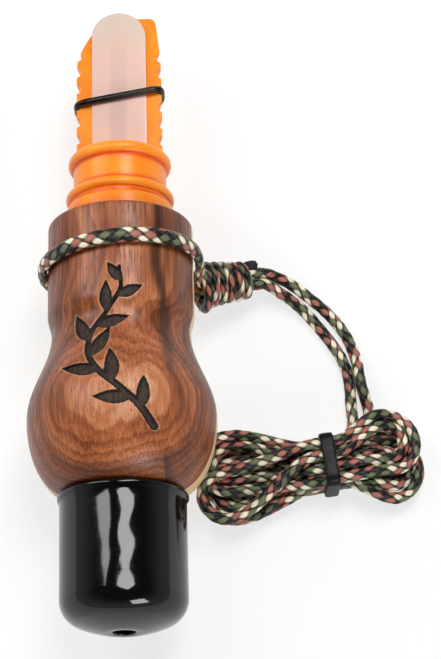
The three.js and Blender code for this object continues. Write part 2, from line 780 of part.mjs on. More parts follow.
// One strand from its entry to the start of the bight. A loop has 24 steps.
function strandThroughHank(nest) {
  const points = entryPoints(nest);
  const entryEnd = ENTRY_CORNERS[nest] - ENTRY_LEG;
  for (let layer = 0; layer < HANK_LAYERS; layer += 1) {
    const last = layer === HANK_LAYERS - 1;
    const sway = layer % 2 === 0 ? HANK_SWAY : -HANK_SWAY;
    const leftShift = HANK_LEFT_SHIFT + sway;
    runPlaces(rightCentre, last ? BIGHT_A : leftCentre).forEach((a) => {
      if (last && a < TIE_PLACE) {
        points.push(crossingPoint(nest, a, layer));
      } else if (layer > 0 || a < entryEnd) {
        points.push(runPoint(nest, a, 1, a > TIE_PLACE ? -sway : leftShift, layer));
      }
    });
    if (!last) {
      points.push(...foldPoints(nest, -1, leftShift, layer));
      runPlaces(rightCentre, leftCentre).reverse().forEach((a) => {
        const climb = smooth((a - CLIMB_START) / (rightCentre - CLIMB_START));
        points.push(runPoint(nest, a, -1, a > TIE_PLACE ? sway : leftShift, layer + climb));
      });
      points.push(...foldPoints(nest, 1, sway, layer + 1));
    }
  }
  return points;
}

function cordHank() {
  const bight = [];
  for (let i = 1; i < FOLD_STEPS; i += 1) {
    const turn = (Math.PI * i) / FOLD_STEPS;
    bight.push(hankPoint(
      BIGHT_A - BIGHT_RADIUS * Math.sin(turn),
      BIGHT_B + BIGHT_RADIUS * Math.cos(turn),
      HANK_LAYERS - 1,
    ));
  }
  const path = [...strandThroughHank(1), ...bight, ...strandThroughHank(0).reverse()];
  printLeastGap('Hank', path, WOUND_TUBE);
  return tube(path, () => new THREE.Vector3(0, 0, 1), WOUND_TUBE, WOUND_TUBE, 6);
}

// The flat rubber band round the hank's waist
function tiePath(shape, grow) {
  const round = CORD_DIAMETER / 2 + grow;
  const half = waistHalf(1);
  const bottom = CORD_DIAMETER / 2 + TIE_LIFT;
  const top = bottom + (HANK_LAYERS - 1) * HANK_LAYER;
  shape.absarc(half, bottom, round, -Math.PI / 2, 0, false);
  shape.absarc(half, top, round, 0, Math.PI / 2, false);
  shape.absarc(-half, top, round, Math.PI / 2, Math.PI, false);
  shape.absarc(-half, bottom, round, Math.PI, 1.5 * Math.PI, false);
  shape.closePath();
  return shape;
}

function hankTie() {
  const shape = tiePath(new THREE.Shape(), TIE_FIT + TIE_THICKNESS);
  shape.holes.push(tiePath(new THREE.Path(), TIE_FIT));
  const depth = TIE_WIDTH;
  const geometry = new THREE.ExtrudeGeometry(shape, { depth, bevelEnabled: false, curveSegments: 4 });
  geometry.rotateX(Math.PI / 2);
  geometry.rotateZ(Math.PI / 2);
  geometry.translate(TIE_PLACE - TIE_WIDTH / 2, 0, 0);
  return geometry;
}

// Materials

function material(color, roughness, metalness = 0) {
  return new THREE.MeshStandardMaterial({ color, roughness, metalness });
}

const walnut = material(0x7b4a30, 0.45);
const maple = material(0xe8c49a, 0.45);
const blackVinyl = material(0x0c0c0e, 0.15);
const orangePlastic = material(0xf68b24, 0.3);
const reedFilm = material(0xe8c4b4, 0.4);
const blackRubber = material(0x151515, 0.5);
const braidedCord = material(0x4a4638, 0.85);

function mesh(name, geometry, look) {
  const result = new THREE.Mesh(geometry, look);
  result.name = name;
  return result;
}

// Assembly

const mouthpiece = new THREE.Group();
mouthpiece.add(
  mesh('toneboard', toneboard(), orangePlastic),
  mesh('reed', reed(), reedFilm),
  mesh('reed_wedge', reedWedge(), orangePlastic),
  mesh('tuning_band', tuningBand(), blackRubber),
);

const insert = new THREE.Group();
insert.add(
  mesh('insert_collar', collar(), orangePlastic),
  mesh('tenon_ring_front', sealRing(RING_DEPTHS[0]), blackRubber),
  mesh('tenon_ring_rear', sealRing(RING_DEPTHS[1]), blackRubber),
  mouthpiece,
);

const call = new THREE.Group();
call.position.set(0, -reedTip / 2, BULB_RADIUS);
call.add(
  mesh('walnut_stave', stave(1), walnut),
  mesh('maple_stave', stave(-1), maple),
  mesh('end_cap', endCap(), blackVinyl),
  insert,
);

const hank = new THREE.Group();
hank.position.copy(HANK_MIDDLE);
hank.rotation.z = HANK_TURN;
hank.add(
  mesh('cord_hank', cordHank(), braidedCord),
  mesh('hank_tie', hankTie(), blackRubber),
);

const lanyard = new THREE.Group();
lanyard.position.set(0, loopAt - reedTip / 2, 0);
lanyard.add(
  mesh('neck_loop', neckLoop(), braidedCord),
  mesh('knot_wraps', knotWraps(), braidedCord),
  mesh('knot_core', knotCore(), braidedCord),
  mesh('cord_strand_out', strand(1, STRAND_UPPER, 0), braidedCord),
  mesh('cord_strand_back', strand(-1, STRAND_LOWER, 1), braidedCord),
  hank,
);

const elkCall = new THREE.Group();
elkCall.add(call, lanyard);

export default elkCall;
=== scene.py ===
"""Looks and fine shapes of an elk call with a neck cord, laid out as an add-on and run as a script.

Shapes are worked out in millimetres. The call lies along Y, from its end cap to its reed. Places
along its axis are measured from the outer end of the cap, and heights from the axis or the table.
"""

import math

import bpy
import numpy as np
from bpy.props import FloatProperty, FloatVectorProperty, IntProperty, PointerProperty
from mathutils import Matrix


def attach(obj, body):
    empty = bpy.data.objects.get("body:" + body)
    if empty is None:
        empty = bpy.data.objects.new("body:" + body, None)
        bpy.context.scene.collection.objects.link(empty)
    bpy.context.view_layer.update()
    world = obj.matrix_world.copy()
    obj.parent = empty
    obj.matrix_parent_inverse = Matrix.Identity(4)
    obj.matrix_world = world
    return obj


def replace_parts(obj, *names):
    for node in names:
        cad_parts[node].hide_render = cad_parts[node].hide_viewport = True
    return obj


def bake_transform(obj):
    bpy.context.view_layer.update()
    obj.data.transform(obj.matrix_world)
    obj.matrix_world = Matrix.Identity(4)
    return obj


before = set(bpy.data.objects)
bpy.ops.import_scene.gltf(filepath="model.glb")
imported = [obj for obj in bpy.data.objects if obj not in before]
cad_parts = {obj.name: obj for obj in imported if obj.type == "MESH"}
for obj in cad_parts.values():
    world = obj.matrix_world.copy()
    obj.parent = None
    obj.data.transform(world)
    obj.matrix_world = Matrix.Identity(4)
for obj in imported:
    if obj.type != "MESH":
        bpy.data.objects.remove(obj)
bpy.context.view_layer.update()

bl_info = {
    "name": "Elk Call",
    "version": (1, 0, 0),
    "blender": (4, 5, 0),
    "location": "View3D > Sidebar > Elk Call",
    "description": "Dresses a wooden elk call and its braided neck cord",
    "category": "Object",
}

MM = 0.001
TURN = 2 * math.pi
WHITE = (1.0, 1.0, 1.0, 1.0)

# A distance that is past every piece
FAR = 99.0

# Camera: the photograph's height and the focal length in pixels, then its place and turn
PHOTO_HEIGHT = 659
FOCAL_LENGTH = 1853.8
CAMERA_PLACE = (0.01773, -0.16067, 0.40629)
CAMERA_TURN = (0.3797, 0, -0.0288)

# Lights: name, place, target and size
LIGHTS = [
    ("above", (0.12, 0.18, 0.60), (0.0, 0.02, 0.02), (0.19, 0.44)),
    ("left", (-0.36, 0.18, 0.43), (0.0, 0.0, 0.02), (0.15, 0.44)),
    ("front", (0.26, -0.60, 0.32), (0.0, -0.02, 0.02), (0.28, 0.20)),
]

# Places along the axis, from the outer end of the cap, and the height of the axis
REED_TIP = 149.95
BULB_AT = 47.0
WAIST_AT = 66.6
NECK_AT = 71.4
MOUTH_AT = 93.2
COLLAR_TOP = 110.75
AXIS_HEIGHT = 20.9
LOOP_AT = 83.8

# End cap
CAP_LENGTH = 29.8
CAP_RADIUS = 13.8
CAP_WALL = 1.7
CAP_END_WALL = 2.5
CAP_LIP = 0.5
CAP_FLAT = 4.2
CAP_DOME = 26.0
CAP_CORNER = 5.75
OUTLET = 2.45
OUTLET_ROUND = 0.35
LIP_LENGTH = 2.2
LIP_SWELL = 1.4
LIP_ROUND = 0.8
WAVE_ANGLE = 1.38
WAVE_WIDTH = 0.28
WAVE_BELOW = 0.08
DENT_DEPTH = 0.25
DENT_ANGLE = 1.57
DENT_WIDTH = 0.27
DENT_AT = 7.0
DENT_LENGTH = 3.0

# Barrel
BULB_RADIUS = 20.9
BULB_DEPTH = 10.0
BULB_REACH = 17.5
WAIST_RADIUS = 15.55
NECK_RADIUS = 16.45
MOUTH_ROUND = 0.9
BORE = 8.0
COUNTERBORE = 9.5
SPIGOT_END = 8.3
SPIGOT_RADIUS = 12.0
SEAT = 0.1
TENON_END = 71.2
SEAM_DISTANCE = 1.896
SEAM_ANGLE = math.radians(93.7)
SEAM_HALF_GAP = 0.05
CARVED_FROM = 37.0
CARVED_TO = 79.6
CARVED_STEP = 0.2
WALL_START = -0.05
WALL_END = 0.5
CARVED_RAGGED = 0.07
COLUMNS_PRESSED = 0.16
WALNUT_COLUMNS = 210
MAPLE_COLUMNS = 110

# Collar. A bead has its largest radius, its place from the barrel's mouth and its round
FLANGE_RADIUS = 12.25
FLANGE_HEIGHT = 4.7
GROOVE_RADIUS = 11.2
SHANK_RADIUS = 10.7
TENON_RADIUS = 9.35
THROAT_RADIUS = 6.0
SOCKET_RADIUS = 8.0
SOCKET_DEPTH = 14.0
RING_GROOVES = (16.0, 6.0)
RING_GROOVE_FLOOR = 7.55
RING_GROOVE_HALF = 1.1
FLANGE_ROUND = 0.8
FLANGE_FILLET = 0.4
LOW_BEAD = (12.4, 7.0, 1.25)
TOP_BEAD = (11.9, 16.0, 1.55)
SHANK_FROM = 9.2
SHANK_TO = 13.6
SHANK_FILLET = 0.5
SHANK_FILLETS = (8.85, 13.9)
# Painted shade as a deeper red in the collar's grooves and fillets: their places from the barrel's mouth,
# its reach and its strength. Then a slightly deeper red over the whole toneboard
GROOVE_SHADE_PLACES = (0.3, 5.2, 8.8, 14.2)
GROOVE_SHADE_REACH = 0.6
GROOVE_SHADE_STRENGTH = 0.8
DEEP_BOARD = 0.12

# Toneboard, reed and band
BOARD_RADIUS = 10.0
BOARD_LENGTH = 38.4
BOARD_FLAT = 0.4
BOARD_TIP_DEPTH = 5.2
BOARD_TIP_HALF = 8.6
BOARD_STRAIGHT = 20.0
BOARD_LEVEL = 16.0
FACING_START = 17.0
FACING_DROP = 1.3
BOARD_EDGE = 0.3
TAIL_LENGTH = 13.5
TAIL_RADIUS = 7.9
CHANNEL_HALF = 1.75
CHANNEL_DEPTH = 3.6
CHANNEL_LENGTH = 30.0
SHOULDER_TURN = 0.3
SHOULDER_REACH = 8.4
SHOULDER_DROP = 1.6
NOTCHES = 5.6 + 4.45 * np.arange(6)
NOTCH_STAGGER = 0.8
NOTCH_RADIUS = 1.3
NOTCH_DEPTH = 0.9
TIP_CORNER = 1.2
TIP_REACH = 3
BOARD_STEP = 0.4
EDGE_STRIP = 0.06
REED_HALF = 6.4
REED_THICKNESS = 0.4
REED_ROOT = 12.5
REED_END_GAP = 0.02
LIE = 0.05
BAND_LEFT = 14.5
BAND_RIGHT = 18.15
BAND_CLEARANCE = 0.12
BAND_SHOULDER = 1.6
BAND_CORNER = (0.4, 0.5)
BAND_STEP = 0.3
BAND_REACH = 15
BAND_SPREAD = 2.2

# Neck cord, with places across, along from the loop, and up from the table
LOOP_LEAN = 1.35
LOOP_RADIUS = 17.7
LOOP_LEGS = (math.radians(5), math.radians(-62))
CORD_STEP = 0.25
KNOT_START = np.array([17.2, -0.9, 11.1])
KNOT_END = np.array([30.2, 2.2, 6.9])

# The loop's legs inside the knot, as places along it and distances from its axis, and the points
# by which the loop bends into them. Then the wraps, as turns, radii and room left at the ends
UPPER_LEG = ([9.0, 3.0, 0.2], [1.3, 1.5, 2.4])
LOWER_LEG = ([-0.2, 3.0, 9.0], [2.0, 1.5, 1.3])
UPPER_BEND = [0.3, -0.3, -4.0]
LOWER_BEND = [3.9, -0.3, 2.07]
WRAPS_FROM = 0.25
WRAPS_TO = 6.02
WRAP_RADIUS = 4.45
WRAP_TAPER = 1.2
WRAP_BULGE = 1.1
WRAP_FADE = 0.13
WRAPS_START = 0.5
WRAPS_ROOM = 1.7

# Where the cord of the wraps starts inside the knot. Then its free end: places along it, its way as
# shares of the knot's axis, up and side, and how far from its tip it is melted and is thinned
WRAPS_ROOT = (2.2, 2.2, 0.05 * TURN)
TAIL_PLACES = [0.9, 1.9, 2.8]
TAIL_WAY = (0.9, 0.5, -0.1)
MELTED_TO = 0.8
MELTED_FADE = 2.4
THINNED_TO = 1.2
THINNING = 0.3

# How far a cord's end stands out, how its yarns wander round it (turns, reach, start of each sine
# wave), and the half-thickness and half-width of the pressed cord of the knot, in shares
CORD_POINT = 0.4
WANDER = [(0.35, 31.0, 0.0), (0.22, 12.7, 1.0)]
KNOT_PRESSED = (0.95, 0.86)

# The two strands of the doubled cord: how far each is from the knot's axis, their places past the
# knot's end, and their points from the knot to the hank
STRAND_APART = 1.43
STRAND_PLACES = np.array([-3.5, 0.3, 2.9])
STRAND_OUT = [
    [38.0, 2.6, 4.3], [43.7, -1.2, 2.4], [47.8, -4.8, 1.5], [50.9, -9.0, 1.35], [52.8, -13.2, 1.6],
    [53.9, -17.8, 2.4], [54.3, -22.4, 3.0], [55.3, -26.8, 2.5], [56.1, -30.2, 1.5],
]
STRAND_BACK = [
    [36.3, 0.0, 4.1], [40.4, -2.5, 2.4], [43.8, -6.0, 1.5], [46.3, -9.3, 1.35], [49.0, -13.4, 1.35],
    [51.1, -17.9, 1.35], [52.0, -22.6, 1.35], [52.0, -26.6, 1.35],
]

# How far the cord stays above the table
TABLE_GAP = 0.02

# Hank, with places along and across it, from its middle
HANK_MIDDLE = np.array([41.5, -44.0, 0.0])
HANK_TURN = math.radians(7)
HANK_RIGHT = 24.6
HANK_LEFT = 24.2
FOLD_RADIUS = 4.0
HANK_PITCH = 2.65
WAIST_PITCH = 2.75
HANK_LAYER = 2.6
HANK_LAYERS = 4
RUN_HALF = 1.3
HANK_SWAY = 2.8
LEFT_SHIFT = 0.6
CLIMB_START = -6.0
DROOP = 2.4
DROOP_START = 14.0
DROOP_REACH = 8.0
ENTRY_ANGLE = math.radians(60)
ENTRY_LEG = 3.4
ENTRY_LEAD = 2.6
ENTRY_CORNERS = (10.4, 8.8)
TIE_PLACE = 4.3
TIE_WIDTH = 3.5
TIE_LIFT = 0.9
TIE_LIFT_REACH = 6.0
TIE_CLEARANCE = 0.15
BIGHT_RADIUS = 5.3
BIGHT_A = -19.9
BIGHT_B = -4.4
BIGHT_EDGE = -7.6
BIGHT_DROOP = 0.6

# A yarn's section, in shares of the room it has: how fast it falls off from its middle, where its edge
# is and how steep that is. Then how far it rises where it passes over, the gap's floor and the mean
YARN_ROUND = 1.6
YARN_EDGE = 0.34
YARN_STEEP = 9.0
YARN_WAVE = 0.5
YARN_FLOOR = 0.3
YARN_MEAN = 1.15


def linear(code):
    """A colour written as six hex digits, as linear red, green, blue and a full alpha."""
    parts = [int(code[i : i + 2], 16) / 255 for i in (0, 2, 4)]
    return tuple(p / 12.92 if p <= 0.04045 else ((p + 0.055) / 1.055) ** 2.4 for p in parts) + (1.0,)


def colour(name, code, description):
    """A colour property with its default from six hex digits."""
    return FloatVectorProperty(
        name=name, description=description, subtype="COLOR", size=4, min=0, max=1, default=linear(code)
    )


def length(name, millimetres, description):
    """A length property with its default in millimetres."""
    return FloatProperty(
        name=name, description=description, unit="LENGTH", precision=5, min=0, default=millimetres * MM
    )


def power(name, watts, description):
    """A lamp's power, with its default in watts."""
    return FloatProperty(name=name, description=description, unit="POWER", default=watts)


# Shapes: curves


def smooth(t):
    """Half a cosine wave, from 0 at t = 0 to 1 at t = 1, and level beyond."""
    return (1 - np.cos(np.pi * np.clip(t, 0, 1))) / 2


def eased(along, start, end, first, last):
    """Goes from the first number to the last by half a cosine wave, as along goes from start to end."""
    return first + (last - first) * smooth((along - start) / (end - start))


def bent(start, corner, end, count):
    """Points of a curve that leaves its start towards the corner and reaches its end from there."""
    start, corner, end = (np.asarray(point, float) for point in (start, corner, end))
    t = np.linspace(0, 1, count)[:, None]
    return (1 - t) ** 2 * start + 2 * t * (1 - t) * corner + t**2 * end


def unit(vectors):
    """Each vector divided by its length."""
    return vectors / np.linalg.norm(vectors, axis=-1, keepdims=True)


def curve_through(points, samples=16):
    """A smooth curve through points: each span is a cubic whose slopes come from the points beside
    it, and the spans are timed by the square roots of their lengths."""
    points = np.asarray(points, float)
    p = np.vstack([2 * points[0] - points[1], points, 2 * points[-1] - points[-2]])
    time = np.sqrt(np.linalg.norm(np.diff(p, axis=0), axis=1))[:, None]
    before, span, after = time[:-2], time[1:-1], time[2:]
    p0, p1, p2, p3 = p[:-3], p[1:-2], p[2:-1], p[3:]
    slope1 = ((p1 - p0) / before - (p2 - p0) / (before + span) + (p2 - p1) / span) * span
    slope2 = ((p2 - p1) / span - (p3 - p1) / (span + after) + (p3 - p2) / after) * span
    t = np.linspace(0, 1, samples, endpoint=False)[None, :, None]
    p1, p2, slope1, slope2 = (v[:, None, :] for v in (p1, p2, slope1, slope2))
    inner = (2 * t**3 - 3 * t**2 + 1) * p1 + (t**3 - 2 * t**2 + t) * slope1
    outer = (3 * t**2 - 2 * t**3) * p2 + (t**3 - t**2) * slope2
    return np.vstack([(inner + outer).reshape(-1, points.shape[1]), points[-1:]])


def arc_lengths(path):
    """The length of the path up to each of its points."""
    return np.concatenate([[0], np.cumsum(np.linalg.norm(np.diff(path, axis=0), axis=1))])


def even(path, step):
    """The path with points a step apart."""
    along = arc_lengths(path)
    places = np.linspace(0, along[-1], max(int(round(along[-1] / step)), 2) + 1)
    return np.stack([np.interp(places, along, path[:, k]) for k in range(path.shape[1])], axis=1)


def bell(reach, spread):
    """Shares that follow a bell curve over the places from -reach to reach, and add up to 1."""
    shares = np.exp(-0.5 * (np.arange(-reach, reach + 1) / spread) ** 2)
    return shares / shares.sum()


def softened(path, reach):
    """Each point replaced by a bell-shaped average of its neighbours, with both ends kept."""
    pad = 3 * reach
    shares = bell(pad, reach)
    head = 2 * path[0] - path[pad:0:-1]
    tail = 2 * path[-1] - path[-2 : -pad - 2 : -1]
    padded = np.vstack([head, path, tail])
    return np.stack([np.convolve(padded[:, k], shares, mode="valid") for k in range(3)], axis=1)


def directions(path):
    """The unit direction of the path at each point, from the points beside it."""
    return unit(np.gradient(path, axis=0))


def arc(centre_r, centre_y, radius, start, end, steps):
    """Points of a circle's arc, as radius and place along the axis."""
    angle = np.linspace(start, end, steps + 1)
    return np.stack([centre_r + radius * np.cos(angle), centre_y + radius * np.sin(angle)], axis=1)


def straight(radius, start, end, count):
    """Points of a line along the axis, as radius and place along the axis."""
    return np.stack([np.full(count, radius), np.linspace(start, end, count)], axis=1)


def squarer(wave, exponent):
    """A sine or cosine wave raised to a power below 1, with its sign kept: it turns a section's
    oval into a rounded rectangle."""
    return np.sign(wave) * np.abs(wave) ** exponent


# Shapes: meshes


def grid_faces(rows, columns, wrap_rows=False, wrap_columns=False):
    """Four corners of each face of a grid of points, which may close on itself either way."""
    i, j = np.meshgrid(
        np.arange(rows if wrap_rows else rows - 1),
        np.arange(columns if wrap_columns else columns - 1),
        indexing="ij",
    )
    down, right = (i + 1) % rows, (j + 1) % columns
    return np.stack(
        [i * columns + j, i * columns + right, down * columns + right, down * columns + j], axis=-1
    ).reshape(-1, 4)


def fan(centre, ring):
    """Triangles from a centre point to each side of a closed ring of points."""
    ring = np.asarray(ring)
    return np.stack([np.full(len(ring), centre), ring, np.roll(ring, -1)], axis=1)


def enclosed(points, faces):
    """Six times the volume inside the faces, which is above 0 where they point outwards."""
    total = 0.0
    for group in faces:
        group = np.asarray(group)
        first = points[group[:, 0]]
        for k in range(1, group.shape[1] - 1):
            pair = np.cross(points[group[:, k]], points[group[:, k + 1]])
            total += float((first * pair).sum())
    return total


def placed(name, data):
    """An object with this mesh, lamp or camera, put into the scene."""
    thing = bpy.data.objects.new(name, data)
    bpy.context.scene.collection.objects.link(thing)
    return thing


def make_piece(name, points, faces, look, body, uv=None, fields=None, crease=40):
    """A mesh object from points in millimetres and groups of faces, turned to point outwards. uv has
    one array for each group of faces, and fields are numbers on the points. Edges sharper than the
    crease, in degrees, are shaded sharp."""
    if enclosed(points - points.mean(axis=0), faces) < 0:
        faces = [np.asarray(group)[:, ::-1] for group in faces]
        uv = None if uv is None else [group[:, ::-1] for group in uv]
    mesh = bpy.data.meshes.new(name)
    mesh.from_pydata((points * MM).tolist(), [], [f for group in faces for f in np.asarray(group).tolist()])
    if uv is not None:
        corners = np.concatenate([group.reshape(-1, 2) for group in uv])
        mesh.uv_layers.new(name="UVMap").data.foreach_set("uv", corners.astype(np.float32).ravel())
    for key, values in (fields or {}).items():
        field = mesh.attributes.new(key, "FLOAT", "POINT")
        field.data.foreach_set("value", values.astype(np.float32).ravel())
    mesh.shade_smooth()
    mesh.set_sharp_from_angle(angle=math.radians(crease))
    mesh.materials.append(look.material)
    piece = placed(name, mesh)
    if body:
        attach(piece, body)
    return piece


def on_call(x, along, height):
    """Points of the call in the row's frame, from across, along from the cap, and up from the axis."""
    x, along, height = np.broadcast_arrays(x, along, height)
    return np.stack([x, along - REED_TIP / 2, height + AXIS_HEIGHT], axis=-1)


def on_lanyard(points):
    """Points of the cord in the row's frame."""
    return points + np.array([0, LOOP_AT - REED_TIP / 2, 0])


def turned(outline, segments):
    """A closed outline of radius and place along the axis, turned about the axis: a ring of points
    for each corner of the outline. Gives the points and the faces."""
    angle = TURN * np.arange(segments) / segments
    radius, along = outline[:, :1], outline[:, 1:]
    points = on_call(radius * np.cos(angle), along, radius * np.sin(angle)).reshape(-1, 3)
    return points, [grid_faces(len(outline), segments, True, True)]


def carried(path, across, section):
    """A closed section carried round a closed path. Its first number is measured along a direction
    made square to the path, and its second square to both. Gives the points and the faces."""
    ahead = unit(np.roll(path, -1, axis=0) - np.roll(path, 1, axis=0))
    across = unit(across - ahead * (ahead @ across)[:, None])
    out = np.cross(ahead, across)
    points = path[:, None] + across[:, None] * section[:, :1] + out[:, None] * section[:, 1:]
    return points.reshape(-1, 3), [grid_faces(len(path), len(section), True, True)]


def refinish(node, look):
    """Gives a node of the CAD model, whose shape is kept, its finish."""
    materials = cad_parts[node].data.materials
    materials.clear()
    materials.append(look.material)


# Shader nodes


class Value:
    """One output of a shader node. Its operators add Math nodes."""

    def __init__(self, look, socket):
        self.look, self.socket = look, socket

    def __add__(self, other):
        return self.look.math("ADD", self, other)

    def __sub__(self, other):
        return self.look.math("SUBTRACT", self, other)

    def __rsub__(self, other):
        return self.look.math("SUBTRACT", other, self)

    def __mul__(self, other):
        return self.look.math("MULTIPLY", self, other)

    def __truediv__(self, other):
        return self.look.math("DIVIDE", self, other)

    def __mod__(self, other):
        return self.look.math("FLOORED_MODULO", self, other)

    def __abs__(self):
        return self.look.math("ABSOLUTE", self)

    __radd__ = __add__
    __rmul__ = __mul__


class Nodes:
    """A node tree whose nodes are added by calls."""

    def __init__(self, tree):
        self.tree = tree

    def feed(self, node, inputs):
        """Sets a node's sockets to values, or links them."""
        for key, value in inputs.items():
            if isinstance(value, Value):
                self.tree.links.new(value.socket, node.inputs[key])
            else:
                node.inputs[key].default_value = value

    def node(self, kind, settings=None, inputs=None, output=0):
        """Adds a node, sets it, feeds its sockets, and gives one of its outputs."""
        node = self.tree.nodes.new(kind)
        for key, value in (settings or {}).items():
            if key == "stops":
                ramp = node.color_ramp
                while len(ramp.elements) < len(value):
                    ramp.elements.new(1.0)
                for element, (place, shade) in zip(ramp.elements, value):
                    element.position, element.color = place, shade
            else:
                setattr(node, key, value)
        self.feed(node, inputs or {})
        return Value(self, node.outputs[output])

    def math(self, operation, *values):
        """A Math node of one to three values."""
        return self.node("ShaderNodeMath", {"operation": operation}, dict(enumerate(values)))

    def mix(self, share, first, second):
        """First and second colour mixed by a share."""
        return self.node("ShaderNodeMix", {"data_type": "RGBA"}, {0: share, 6: first, 7: second}, 2)

    def ease(self, value, low, high, start=0.0, end=1.0):
        """A value eased from start to end while it goes from low to high."""
        inputs = {"Value": value, "From Min": low, "From Max": high, "To Min": start, "To Max": end}
        return self.node("ShaderNodeMapRange", {"interpolation_type": "SMOOTHSTEP"}, inputs)

    def stretched(self, where, scale):
        """A place with its three directions scaled."""
        return self.node("ShaderNodeVectorMath", {"operation": "MULTIPLY"}, {0: where, 1: scale})

    def place(self):
        """The place on the part, in millimetres."""
        return self.stretched(self.node("ShaderNodeTexCoord", output="Object"), (1 / MM, 1 / MM, 1 / MM))

    def split(self, where):
        """The three numbers of a place."""
        parts = self.node("ShaderNodeSeparateXYZ", None, {0: where}).socket.node.outputs
        return [Value(self, part) for part in parts]

    def noise(self, where, scale=1.0, detail=2.0, roughness=0.5):
        """Cloudy noise from 0 to 1, mostly near a half. The scale may be one for each direction."""
        if isinstance(scale, tuple):
            where, scale = self.stretched(where, scale), 1.0
        inputs = {"Vector": where, "Scale": scale, "Detail": detail, "Roughness": roughness}
        return self.node("ShaderNodeTexNoise", None, inputs)

    def field(self, name):
        """A number kept on the mesh's points."""
        return self.node("ShaderNodeAttribute", {"attribute_name": name}, None, "Fac")

    def bump(self, height, strength, millimetres):
        """A normal that follows a height."""
        inputs = {"Strength": strength, "Distance": millimetres * MM, "Height": height}
        return self.node("ShaderNodeBump", None, inputs)


class Look(Nodes):
    """A material. What is the same all over goes straight to its main shader's sockets."""

    def __init__(self, name, constants):
        self.material = bpy.data.materials.new(name)
        self.material.use_nodes = True
        super().__init__(self.material.node_tree)
        self.shader = self.tree.nodes["Principled BSDF"]
        self.feed(self.shader, constants)

    def dress(self, inputs):
        """Feeds the main shader."""
        self.feed(self.shader, inputs)
        return self


# Finishes


def walnut_look(wood):
    """Rings are layers nearly level with the table, bowed and warped, that the turning cuts through.
    Long fibres, open pores, one dark streak, and the burnt floor of the carving lie over them, with
    painted light over all: the upper side lighter, and broad patches that stand partly for sheen."""
    look = Look("walnut", {"Specular IOR Level": 0.38})
    where = look.place()
    x, y, z = look.split(where)
    broad = look.noise(where, (0.05, 0.02, 0.05), detail=1)
    wavy = look.noise(where, (0.25, 0.05, 0.25), detail=2)
    slant = look.ease(y, -14, 4, 0.05, 0.32)
    depth = z + x * x * 0.010 + x * slant + broad * 12 + wavy * 1.2
    wide, narrow = (depth / 4.4 + 0.1) % 1, (depth / 1.25 + wavy * 0.5) % 1
    layer = look.ease(wide, 0.0, 0.7) * look.ease(wide, 0.6, 1.0, 1.0, 0.0)
    line = look.ease(narrow, 0.2, 0.85) * look.ease(narrow, 0.85, 1.0, 1.0, 0.0)
    fibre = look.noise(where, (2.2, 0.07, 2.2), detail=3, roughness=0.65)
    # Broad random patches of tone that also stand in for the wood's shifting sheen: partly real tone, partly
    # painted sheen.
    glow = look.noise(where, (0.07, 0.05, 0.07), detail=1)
    # Painted light: the barrel's upper side is lighter and its flanks a little darker, as light falls from
    # above.
    painted_top_light = look.ease(z, 31, 43, -0.03, 0.25)
    tone = layer * -0.12 + line * -0.1 + fibre * 0.55 + glow * 0.42 + painted_top_light
    stops = [(0.2, wood.dark), (0.4, wood.middle), (0.56, wood.warm), (0.78, wood.light)]
    base = look.node("ShaderNodeValToRGB", {"stops": stops}, {0: tone})
    drift = look.noise(where, (0.0, 0.06, 0.0), detail=1)
    off = abs(x - drift * 5 - 6.4 - look.ease(y, -34, -6, 5.0, 0.0))
    ragged = look.noise(where, (0.9, 0.04, 0.9), detail=2)
    streak = look.ease(off - ragged * 1.8, -0.7, 1.2, 0.85, 0.0) * look.ease(y, -36, -8, 0.25, 1.0)
    blotch = look.ease(x, 9.0, 9.6) * look.ease(x, 9.6, 13.0, 1.0, 0.0) * look.ease(y, -43, -38, 0.8, 0.0)
    streaked = look.mix(look.math("MAXIMUM", streak, blotch), base, wood.streak)
    pores = look.noise(where, (3.6, 0.28, 3.6), detail=2)
    pore = look.ease(pores, 0.60, 0.70)
    porous = look.mix(pore * 0.55, streaked, wood.dark)
    cut = look.field("carve")
    rim = look.ease(cut, -0.3, -0.05) * look.ease(cut, 0.0, 0.12, 1.0, 0.0)
    rimmed = look.mix(rim * 0.4, porous, wood.rim)
    char = look.noise(where, (1.8, 0.5, 1.8), detail=3)
    middle = look.ease(cut, 0.3, 0.75) * look.ease(char, 0.3, 0.65)
    burnt = look.mix(middle, wood.burnt, wood.scorched)
    floor = look.ease(cut, 0.0, 0.14)
    return look.dress({
        "Base Color": look.mix(floor, rimmed, burnt),
        "Roughness": floor * 0.3 + look.ease(pores, 0.3, 0.7, 0.3, 0.44),
        "Normal": look.bump(fibre * 0.5 - pore + floor * char * 1.5, 0.5, 0.08),
    })


def maple_look(wood):
    """Pale wood: faint rings and fibres along the axis."""
    look = Look("maple", {"Roughness": 0.4})
    where = look.place()
    fibre = look.noise(where, (1.8, 0.08, 1.8), detail=3)
    cloud = look.noise(where, (0.12, 0.04, 0.12), detail=2)
    tone = fibre * 0.5 + cloud * 0.5
    stops = [(0.3, wood.maple_dark), (0.65, wood.maple)]
    pale = look.node("ShaderNodeValToRGB", {"stops": stops}, {0: tone})
    return look.dress({"Base Color": pale, "Normal": look.bump(fibre, 0.2, 0.05)})


def vinyl_look(cap):
    """Glossy dipped vinyl with a faint unevenness and a little dust."""
    look = Look("black_vinyl", {"Specular IOR Level": 0.45})
    where = look.place()
    wave = look.noise(where, (0.2, 0.12, 0.2), detail=1)
    fine = look.noise(where, scale=2.2, detail=2)
    dust = look.ease(look.noise(where, scale=6.0, detail=1), 0.72, 0.8)
    return look.dress({
        "Base Color": look.mix(dust * 0.12, cap.black, cap.dust),
        "Roughness": look.ease(fine, 0.3, 0.7, 0.06, 0.11),
        "Normal": look.bump(wave, 0.12, 0.5),
    })


